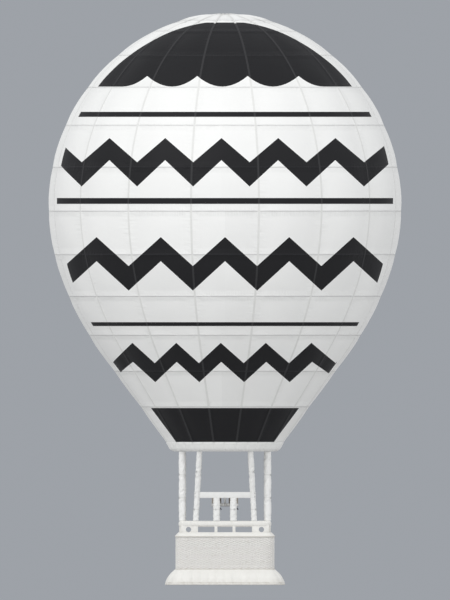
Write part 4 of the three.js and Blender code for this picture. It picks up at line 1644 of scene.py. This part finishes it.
# %% The basket's outline
BASKET = {"half_x": 1.244, "half_y": 0.9, "corner": 0.26}
STRAIGHT_X = 2 * (BASKET["half_x"] - BASKET["corner"])
STRAIGHT_Y = 2 * (BASKET["half_y"] - BASKET["corner"])
ARC = BASKET["corner"] * math.pi / 2
PERIMETER = 2 * (STRAIGHT_X + STRAIGHT_Y) + 4 * ARC
SECTION_STEP = 0.022


def outline(length):
    """A point on the outline and the direction out of it, by length from the middle of the front."""
    corner = BASKET["corner"]
    x = BASKET["half_x"] - corner
    y = BASKET["half_y"] - corner
    left = length % PERIMETER
    # straight's start, straight's length, its direction and the corner's centre
    sides = [
        ((0, -y - corner), STRAIGHT_X / 2, (1, 0), (x, -y)),
        ((x + corner, -y), STRAIGHT_Y, (0, 1), (x, y)),
        ((x, y + corner), STRAIGHT_X, (-1, 0), (-x, y)),
        ((-x - corner, y), STRAIGHT_Y, (0, -1), (-x, -y)),
        ((-x, -y - corner), STRAIGHT_X / 2, (1, 0), None),
    ]
    for start, run, (dx, dy), centre in sides:
        if left <= run or centre is None:
            return (start[0] + dx * left, start[1] + dy * left), (dy, -dx)
        left -= run
        if left <= ARC:
            turn = math.atan2(-dx, dy) + left / corner
            return around_point(*centre, corner, turn), (math.cos(turn), math.sin(turn))
        left -= ARC


def beside_basket(length, offset, z):
    (x, y), (out_x, out_y) = outline(length)
    return (x + out_x * offset, y + out_y * offset, z)


def basket_ring(name, section, columns, stitches=0, free=(), pull=None):
    """Carries a closed [offset, height] section round the basket. The points whose numbers in the
    section are free are pulled in at the stitches, and are held there while the rest swells."""
    points = []
    held = []
    for i, (offset, z) in enumerate(section):
        for column in range(columns):
            share = column / columns
            stitch = stitched(share, stitches)
            if i not in free or stitch > AT_STITCH:
                held.append(len(points))
            out, up = pull(offset, z, stitch) if i in free else (0, 0)
            points.append(beside_basket(PERIMETER * share, offset + out, z + up))
    piece = new_mesh(name, points, ring_faces(len(section), columns, closed_rows=True))
    if stitches:
        hold(piece, held)
    return piece


def rounded_section(low, high, inner, outer, round_by, steps):
    """A rectangle's [offset, height] section with round corners, the way round that faces outwards."""
    section = []
    corners = [
        (outer - round_by, low + round_by, -90),
        (outer - round_by, high - round_by, 0),
        (inner + round_by, high - round_by, 90),
        (inner + round_by, low + round_by, 180),
    ]
    for offset, z, start in corners:
        for step in range(steps + 1):
            section.append(around_point(offset, z, round_by, math.radians(start + 90 * step / steps)))
    return section


print("basket outline:", round(PERIMETER, 3), "m")

# %% [markdown]
# Rail, collar and foot are covered in hide. Its fine grain is a cell pattern with creases, and it
# is rubbed and a little soiled, most of all near the ground.

# %% The hide
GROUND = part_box("floor_bearer_2")[0].z


def grained_hide(group, given):
    place = coordinates(group)
    cells = group.nodes.new("ShaderNodeTexVoronoi")
    group.links.new(given["Grain Size"], cells.inputs["Scale"])
    group.links.new(place, cells.inputs["Vector"])
    cloud = noise(group, place, 4.0, 6)
    _, _, z = separate(group, place)
    above_ground = minus(group, z, GROUND)
    low = minus(group, 1.0, times(group, above_ground, 5.0))
    low = calc(group, "MAXIMUM", low, 0.0)
    soil = calc(group, "MULTIPLY_ADD", low, 0.5, 0.1)
    soil = times(group, noise(group, place, 14.0, 6), soil)
    color = mix_color(group, soil, given["Color"], given["Soiled Color"])
    color = toned(group, color, calc(group, "MULTIPLY_ADD", cloud, 0.1, 0.94))
    grain = times(group, cells.outputs["Distance"], 0.5)
    creases = times(group, noise(group, place, 24.0, 5), 1.5)
    rough = calc(group, "MULTIPLY_ADD", cloud, 0.25, 0.4)
    return color, rough, plus(group, grain, creases)


GRAINED_HIDE = finish_group({"Color": (1, 1, 1), "Soiled Color": (0.5, 0.46, 0.4),
                             "Grain Size": 130.0}, grained_hide)
HIDE_COLOR = (0.84, 0.83, 0.79)
THREAD = {"Color": (0.6, 0.57, 0.5), "Rib Size": 200.0}
FINISH["hide"] = new_finish("white_hide", GRAINED_HIDE, {"Color": HIDE_COLOR}, depth=0.003, coat=0.05)
FINISH["thread"] = new_finish("waxed_thread", WOVEN_STRAP, THREAD, depth=0.0005)
print("hide ready")

# %% [markdown]
# The top rail is a padded ring with a laced seam: the lacing pulls it in at even steps. It stands
# on hide-covered feet. Those beside the outer posts are cut to a half round, which leaves the
# round eyes that the drawing shows.

# %% The top rail
WALL_TOP = -8.205
RAIL = {"low": -8.072, "high": -7.922, "inner": -0.26, "outer": -0.087, "round": 0.055}
RAIL_STITCHES = 96
# centre x, centre y, width, depth, in one quarter of the basket
RAIL_FEET = [
    (0.89, 0.726, 0.43, 0.143),
    (0.225, 0.726, 0.075, 0.143),
    (1.11, 0.56, 0.07, 0.2),
]
EYE = {"x": 0.912, "radius": 0.066}
# the height at the rail's top and bottom that stays level, and how far the lacing pulls the rest in
RAIL_LEVEL = 0.004
LACED_IN = 0.06


def rail_pull(offset, z, stitch):
    if z > RAIL["high"] - RAIL_LEVEL:
        return 0, 0
    pulled = LACED_IN * stitch**10
    middle_offset = (RAIL["inner"] + RAIL["outer"]) / 2
    middle_z = (RAIL["low"] + RAIL["high"]) / 2
    return (middle_offset - offset) * pulled, (middle_z - z) * pulled


def rail_padding():
    section = rounded_section(RAIL["low"], RAIL["high"], RAIL["inner"], RAIL["outer"], RAIL["round"], 5)
    section = finer(section + section[:1], SECTION_STEP)[:-1]
    free = {i for i, (_, z) in enumerate(section) if z > RAIL["low"] + RAIL_LEVEL}
    rail = basket_ring("rail_padding", section, RAIL_STITCHES * 6, RAIL_STITCHES, free, rail_pull)
    belongs(rail, FINISH["hide"])
    return rail


def rail_feet():
    low = WALL_TOP + RESTING_GAP
    height = RAIL["low"] + 0.03 - low
    middle = low + height / 2
    eye_z = (RAIL["low"] + WALL_TOP) / 2
    feet = []
    for x_sign, y_sign in QUARTERS.values():
        for x, y, width, depth in RAIL_FEET:
            place = (x_sign * x, y_sign * y, middle)
            foot = shaped_block("rail_foot", (width, depth, height), place, 0.008, 2)
            if width > 0.4:
                reach = 0.2
                eye = drawn_up("eye", [(EYE["radius"], -reach), (EYE["radius"], reach)],
                               (x_sign * EYE["x"], y_sign * y, eye_z), (90, 0, 0), sides=40)
                cut(foot, [eye])
            feet.append(foot)
    for x_sign in (-1, 1):
        feet.append(shaped_block("rail_foot", (0.07, 0.2, height), (x_sign * 1.11, 0, middle), 0.008, 2))
    piece = joined("rail_feet", feet)
    return belongs(piece, FINISH["hide"], nodes=["top_rail"])


rail = rail_padding()
swell([rail], growth=0.025, pressure=2.5, most_moved=0.006)
print(rail.name, rail_feet().name)

# %% [markdown]
# The wall is woven: bands of cane pass in front of one stake and behind the next, and each row
# starts on the other side. A band is a formula rather than a shape to push about, so the weave is
# made by code, with a section of six points. Its UV map runs along the band, so the material can
# draw the three canes that lie side by side in it, each row in its own tone, with painted shade
# in the grooves between the canes.

# %% The weave
WALL_BOTTOM = -9.132
WEAVE_TOP = -8.285
WEAVE = {"rows": 30, "stakes": 108, "steps": 4, "middle": -0.022, "swing": 0.0105,
         "half_thick": 0.0065, "half_width": 0.0152, "stake_radius": 0.0075}
CANES = 3


def cane_bands(group, given):
    along, around, _ = separate(group, coordinates(group, "UV"))
    canes = times(group, calc(group, "FRACT", around), 2 * CANES)
    groove = near_whole(group, canes, 0.16)
    columns = calc(group, "DIVIDE", along, 0.9)
    tone = cell_value(group, columns, times(group, around, 2 * CANES))
    place = coordinates(group)
    fibre = noise(group, stretched(group, place, (3, 3, 60)), 12.0, 4)
    rubbed = calc(group, "GREATER_THAN", noise(group, place, 11.0, 6), 0.62)
    # the grooves between the canes are darkened towards Dark Color: painted shade in the recesses; the rubbed
    # spots are real wear and the row tones differ at random
    dark = plus(group, times(group, groove, 0.4), times(group, rubbed, 0.12))
    dark = plus(group, dark, times(group, tone, 0.1))
    color = mix_color(group, dark, given["Color"], given["Dark Color"])
    height = minus(group, times(group, fibre, 0.4), groove)
    return color, calc(group, "MULTIPLY_ADD", fibre, 0.3, 0.35), height


# Dark Color is the bare cane at the rubbed spots, and also the painted shade in the grooves between canes
CANE = {"Color": (0.93, 0.92, 0.89), "Dark Color": (0.5, 0.45, 0.38)}
FINISH["cane"] = new_finish("painted_cane", finish_group(CANE, cane_bands), {})


def woven_band(row, points, faces, uvs):
    """One closed band of the weave, six points round."""
    count = WEAVE["stakes"] * WEAVE["steps"]
    pitch = PERIMETER / WEAVE["stakes"]
    row_height = (WEAVE_TOP - WALL_BOTTOM) / WEAVE["rows"]
    middle_z = WALL_BOTTOM + (row + 0.5) * row_height
    start = len(points)
    for i in range(count):
        length = PERIMETER * i / count
        swing = WEAVE["swing"] * math.cos(math.pi * length / pitch + math.pi * row)
        for side in range(6):
            turn = math.radians(60 * side + 30)
            offset = WEAVE["middle"] + swing + WEAVE["half_thick"] * math.cos(turn)
            points.append(beside_basket(length, offset, middle_z + WEAVE["half_width"] * math.sin(turn)))
    for i in range(count):
        following = (i + 1) % count
        for side in range(6):
            above = (side + 1) % 6
            faces.append((start + i * 6 + side, start + following * 6 + side,
                          start + following * 6 + above, start + i * 6 + above))
            u0, u1 = PERIMETER * i / count, PERIMETER * (i + 1) / count
            v0, v1 = row + side / 6, row + (side + 0.999) / 6
            uvs += [(u0, v0), (u1, v0), (u1, v1), (u0, v1)]


def wicker_weave():
    points = []
    faces = []
    uvs = []
    for row in range(WEAVE["rows"]):
        woven_band(row, points, faces, uvs)
    weave = new_mesh("wicker_weave", points, faces, uvs)
    return belongs(weave, FINISH["cane"])


def wicker_stakes():
    radius = WEAVE["stake_radius"]
    stake = drawn_up("stake", [(radius, WALL_BOTTOM), (radius, WEAVE_TOP + 0.01)], sides=8)
    stakes = []
    for i in range(WEAVE["stakes"]):
        x, y, _ = beside_basket(PERIMETER * i / WEAVE["stakes"], WEAVE["middle"], 0)
        stakes.append(copy_of(stake, (x, y, 0)))
    bpy.data.objects.remove(stake)
    piece = joined("wicker_stakes", stakes)
    return belongs(piece, FINISH["cane"])


weave = wicker_weave()
print(weave.name, len(weave.data.polygons) * 2, "triangles;", wicker_stakes().name)

# %% [markdown]
# A padded collar covers the top of the weave, slopes up to the shelf that the rail's feet stand
# on, and a band of hide binds the weave's lower edge inside. The flared foot is a padded skirt of
# hide that the basket lands on. Cord piping marks their seams.

# %% The collar, the lower binding and the flared foot
# the collar's heights are the frame's, and the foot's are above the ground
WALL_THICK = 0.07
COLLAR_OUTER = [
    (-0.002, -8.318), (0.0015, -8.305), (0.0, -8.29), (-0.02, -8.268), (-0.05, -8.238),
    (-0.075, -8.213), (-0.092, -8.205),
]
COLLAR_INNER = [
    (-0.18, -8.205), (-0.248, -8.206), (-0.259, -8.214), (-0.26, -8.235), (-0.25, -8.252),
    (-0.2, -8.305), (-0.14, -8.366), (-0.09, -8.415), (-0.07, -8.43), (-0.05, -8.425),
    (-0.042, -8.4), (-0.04, -8.325),
]
FOOT_OUTER = [
    (0.256, 0.004), (0.2565, 0.02), (0.252, 0.035), (0.246, 0.05), (0.228, 0.1), (0.2, 0.16),
    (0.167, 0.215), (0.128, 0.266), (0.085, 0.312), (0.042, 0.352), (0.008, 0.382),
    (0.0, 0.3925),
]
FOOT_INNER = [
    (-0.035, 0.3925), (-0.07, 0.3925), (-0.07, 0.3527), (-0.16, 0.3527), (-0.16, 0.18),
    (-0.16, 0.002), (-0.15, 0.0), (0.05, 0.0), (0.24, 0.0),
]
COLLAR_PADS = 60
FOOT_PADS = 40
PIPING_RADIUS = 0.006
PIPINGS = [(0.0, -8.3175), (0.001, WALL_BOTTOM + 0.004), (0.247, GROUND + 0.055)]
BINDING = {"low": -9.131, "high": -9.07, "inner": -0.069, "outer": -0.04, "round_by": 0.01, "steps": 2}


def collar_pull(offset, z, stitch):
    return -0.003 * stitch**14, -0.003 * stitch**14


def foot_pull(offset, z, stitch):
    return -0.006 * stitch**12, 0


def on_ground(stations):
    return [(offset, GROUND + height) for offset, height in stations]


def padded_ring(name, outer, inner, lowest_free, pads, columns, pull):
    """A padded ring whose outer line swells above a height, from its first to its last point."""
    line = finer(outer, SECTION_STEP)
    free = {i for i, (_, z) in enumerate(line[:-1]) if z > lowest_free}
    piece = basket_ring(name, line + inner, columns, pads, free, pull)
    return piece


def piping(offset, z):
    section = [around_point(offset, z, PIPING_RADIUS, math.radians(a)) for a in range(0, 360, 45)]
    return basket_ring("piping", section, 400)


collar = padded_ring("wall_collar", COLLAR_OUTER, COLLAR_INNER, -8.31, COLLAR_PADS, COLLAR_PADS * 6,
                     collar_pull)
belongs(collar, FINISH["hide"], nodes=["wicker_wall"])
foot = padded_ring("foot_skirt", on_ground(FOOT_OUTER), on_ground(FOOT_INNER), GROUND + 0.045, FOOT_PADS,
                   FOOT_PADS * 10, foot_pull)
belongs(foot, FINISH["hide"], nodes=["flared_foot"])
swell([collar, foot], growth=0.02, pressure=2.5, most_moved=0.008)
welded(collar)
belongs(basket_ring("wall_binding", rounded_section(**BINDING), 200), FINISH["hide"])
pipings = joined("piping", [piping(offset, z) for offset, z in PIPINGS])
belongs(pipings, FINISH["thread"])
print("collar, foot, binding and", pipings.name)

# %% [markdown]
# The floor is sealed plywood with the weave's round corners: a block whose upright edges are
# bevelled. Three timber bearers under it slide over the ground. Wood grain is a stretched noise
# with rings, and its long way is X.

# %% The floor and its bearers
def wood_grain(group, given):
    place = coordinates(group)
    rings = wave(group, stretched(group, place, (0.6, 5, 5)), 2.2, "Y", 7.0)
    fine = noise(group, stretched(group, place, (2, 60, 60)), 5.0, 4)
    share = calc(group, "MULTIPLY_ADD", rings, 0.5, times(group, fine, 0.5))
    color = mix_color(group, share, given["Light Color"], given["Dark Color"])
    rubbed = times(group, noise(group, place, 3.5, 6), given["Wear"])
    color = mix_color(group, rubbed, color, (0.5, 0.45, 0.38))
    height = plus(group, fine, times(group, rings, 0.4))
    return color, calc(group, "MULTIPLY_ADD", fine, 0.2, 0.45), height


WOOD_GRAIN = finish_group({"Light Color": (0.62, 0.42, 0.22), "Dark Color": (0.36, 0.21, 0.1),
                           "Wear": 0.3}, wood_grain)
TIMBER = {"Wear": 0.6, "Light Color": (0.5, 0.36, 0.2)}
FINISH["plywood"] = new_finish("sealed_plywood", WOOD_GRAIN, {}, bump=0.3, coat=0.1)
FINISH["timber"] = new_finish("bearer_timber", WOOD_GRAIN, TIMBER, bump=0.4)


def floor_board():
    low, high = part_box("floor")
    size = high - low
    piece = sized(primitive("floor_board", bpy.ops.mesh.primitive_cube_add, size=1), size)
    for edge in piece.data.edges:
        first, second = (piece.data.vertices[i].co for i in edge.vertices)
        edge.select = abs(first.z - second.z) > size.z / 2
    bpy.ops.object.mode_set(mode="EDIT")
    bpy.ops.mesh.select_mode(type="EDGE")
    bpy.ops.mesh.bevel(offset=BASKET["corner"] - WALL_THICK, segments=10, affect="EDGES")
    bpy.ops.object.mode_set(mode="OBJECT")
    modify(piece, "BEVEL", width=0.004, segments=2)
    set_in_place(shade(piece), (low + high) / 2)
    return belongs(piece, FINISH["plywood"], nodes=["floor"])


def floor_bearer(number):
    node = f"floor_bearer_{number}"
    low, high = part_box(node)
    piece = shaped_block(f"bearer_{number}", high - low, (low + high) / 2, 0.007, 2)
    return belongs(piece, FINISH["timber"], nodes=[node])


print(floor_board().name, [floor_bearer(number).name for number in (1, 2, 3)])

# %% [markdown]
# Four gas cylinders stand in the corners. The vessel, its foot ring, collar guard, valve and hand
# wheel are all drawn up from short tables, and two straps hold each one to the wall.

# %% The gas cylinders
GAS = {"x": 0.94, "y": 0.6}
CYLINDER_BASE = WALL_BOTTOM + RESTING_GAP
VESSEL = [
    (0.128, 0.0), (0.132, 0.001), (0.134, 0.02), (0.134, 0.03), (0.14, 0.034), (0.148, 0.045),
    (0.15, 0.06), (0.15, 0.36), (0.1515, 0.364), (0.1515, 0.376), (0.15, 0.38), (0.15, 0.66),
    (0.147, 0.682), (0.138, 0.704), (0.124, 0.722), (0.105, 0.737), (0.09, 0.745),
    (0.06, 0.753), (0.03, 0.757),
]
GUARD = [(0.088, 0.742), (0.09, 0.745), (0.09, 0.822), (0.088, 0.828), (0.084, 0.828),
         (0.083, 0.824), (0.083, 0.745)]
VALVE = [
    (0.022, 0.752), (0.022, 0.772), (0.015, 0.775), (0.015, 0.795), (0.01, 0.797),
    (0.01, 0.803),
]
HAND_WHEEL = [(0.028, 0.802), (0.03, 0.805), (0.03, 0.816), (0.026, 0.82)]
CYLINDER_STRAPS = (0.2, 0.56)


def raised(stations):
    return [(radius, CYLINDER_BASE + height) for radius, height in stations]


def guard_windows():
    return [shaped_block("window", (0.3, 0.07, 0.034), (0, 0, CYLINDER_BASE + 0.785), 0.008, 2, (0, 0, turn))
            for turn in (0, 90)]


def gas_cylinder():
    vessel = drawn_up("vessel", raised(VESSEL), sides=48)
    guard = cut(drawn_up("guard", raised(GUARD), sides=40), guard_windows())
    return joined("cylinder", [vessel, guard])


def valve_set():
    valve = drawn_up("valve", raised(VALVE), sides=20)
    outlet = drawn_up("outlet", [(0.008, 0), (0.008, 0.045), (0.012, 0.046), (0.012, 0.06)],
                      (0, 0, CYLINDER_BASE + 0.785), (0, 90, 45), sides=16)
    return joined("valve", [valve, outlet])


def cylinder_straps():
    straps = []
    for height in CYLINDER_STRAPS:
        stations = strap_stations(0.146, 0.1535, 0.022, CYLINDER_BASE + height)
        straps.append(drawn_up("strap", stations, sides=48))
    return joined("straps", straps)


model_parts = {
    "cylinder": (gas_cylinder(), FINISH["aluminium"], "gas"),
    "cylinder_valve": (valve_set(), FINISH["brass"], "steel"),
    "cylinder_wheel": (drawn_up("wheel", raised(HAND_WHEEL), sides=14), FINISH["black_rubber"], "steel"),
    "cylinder_straps": (cylinder_straps(), WEBBING["dark"], "dark_cloth"),
}
for part, (model, material, slot) in model_parts.items():
    for place, (x, y) in QUARTERS.items():
        twin = copy_of(model, (x * GAS["x"], y * GAS["y"], 0))
        twin.name = f"{part}_{place}"
        belongs(twin, material, nodes=[f"gas_cylinder_{place}"] if part == "cylinder" else [])
    bpy.data.objects.remove(model)
print("cylinders:", len(QUARTERS))

# %% [markdown]
# The studio floor is a plain light grey. It keeps one soft tone, with hardly any grain.

# %% The studio floor
STUDIO = {"Color": (0.54, 0.54, 0.54), "Soiling": 0.0, "Weave Size": 3.0}
FINISH["studio"] = new_finish("studio_floor", STUFFED_CLOTH, STUDIO, bump=0.02)
studio_floor.data.materials.append(FINISH["studio"])
print("studio floor ready")
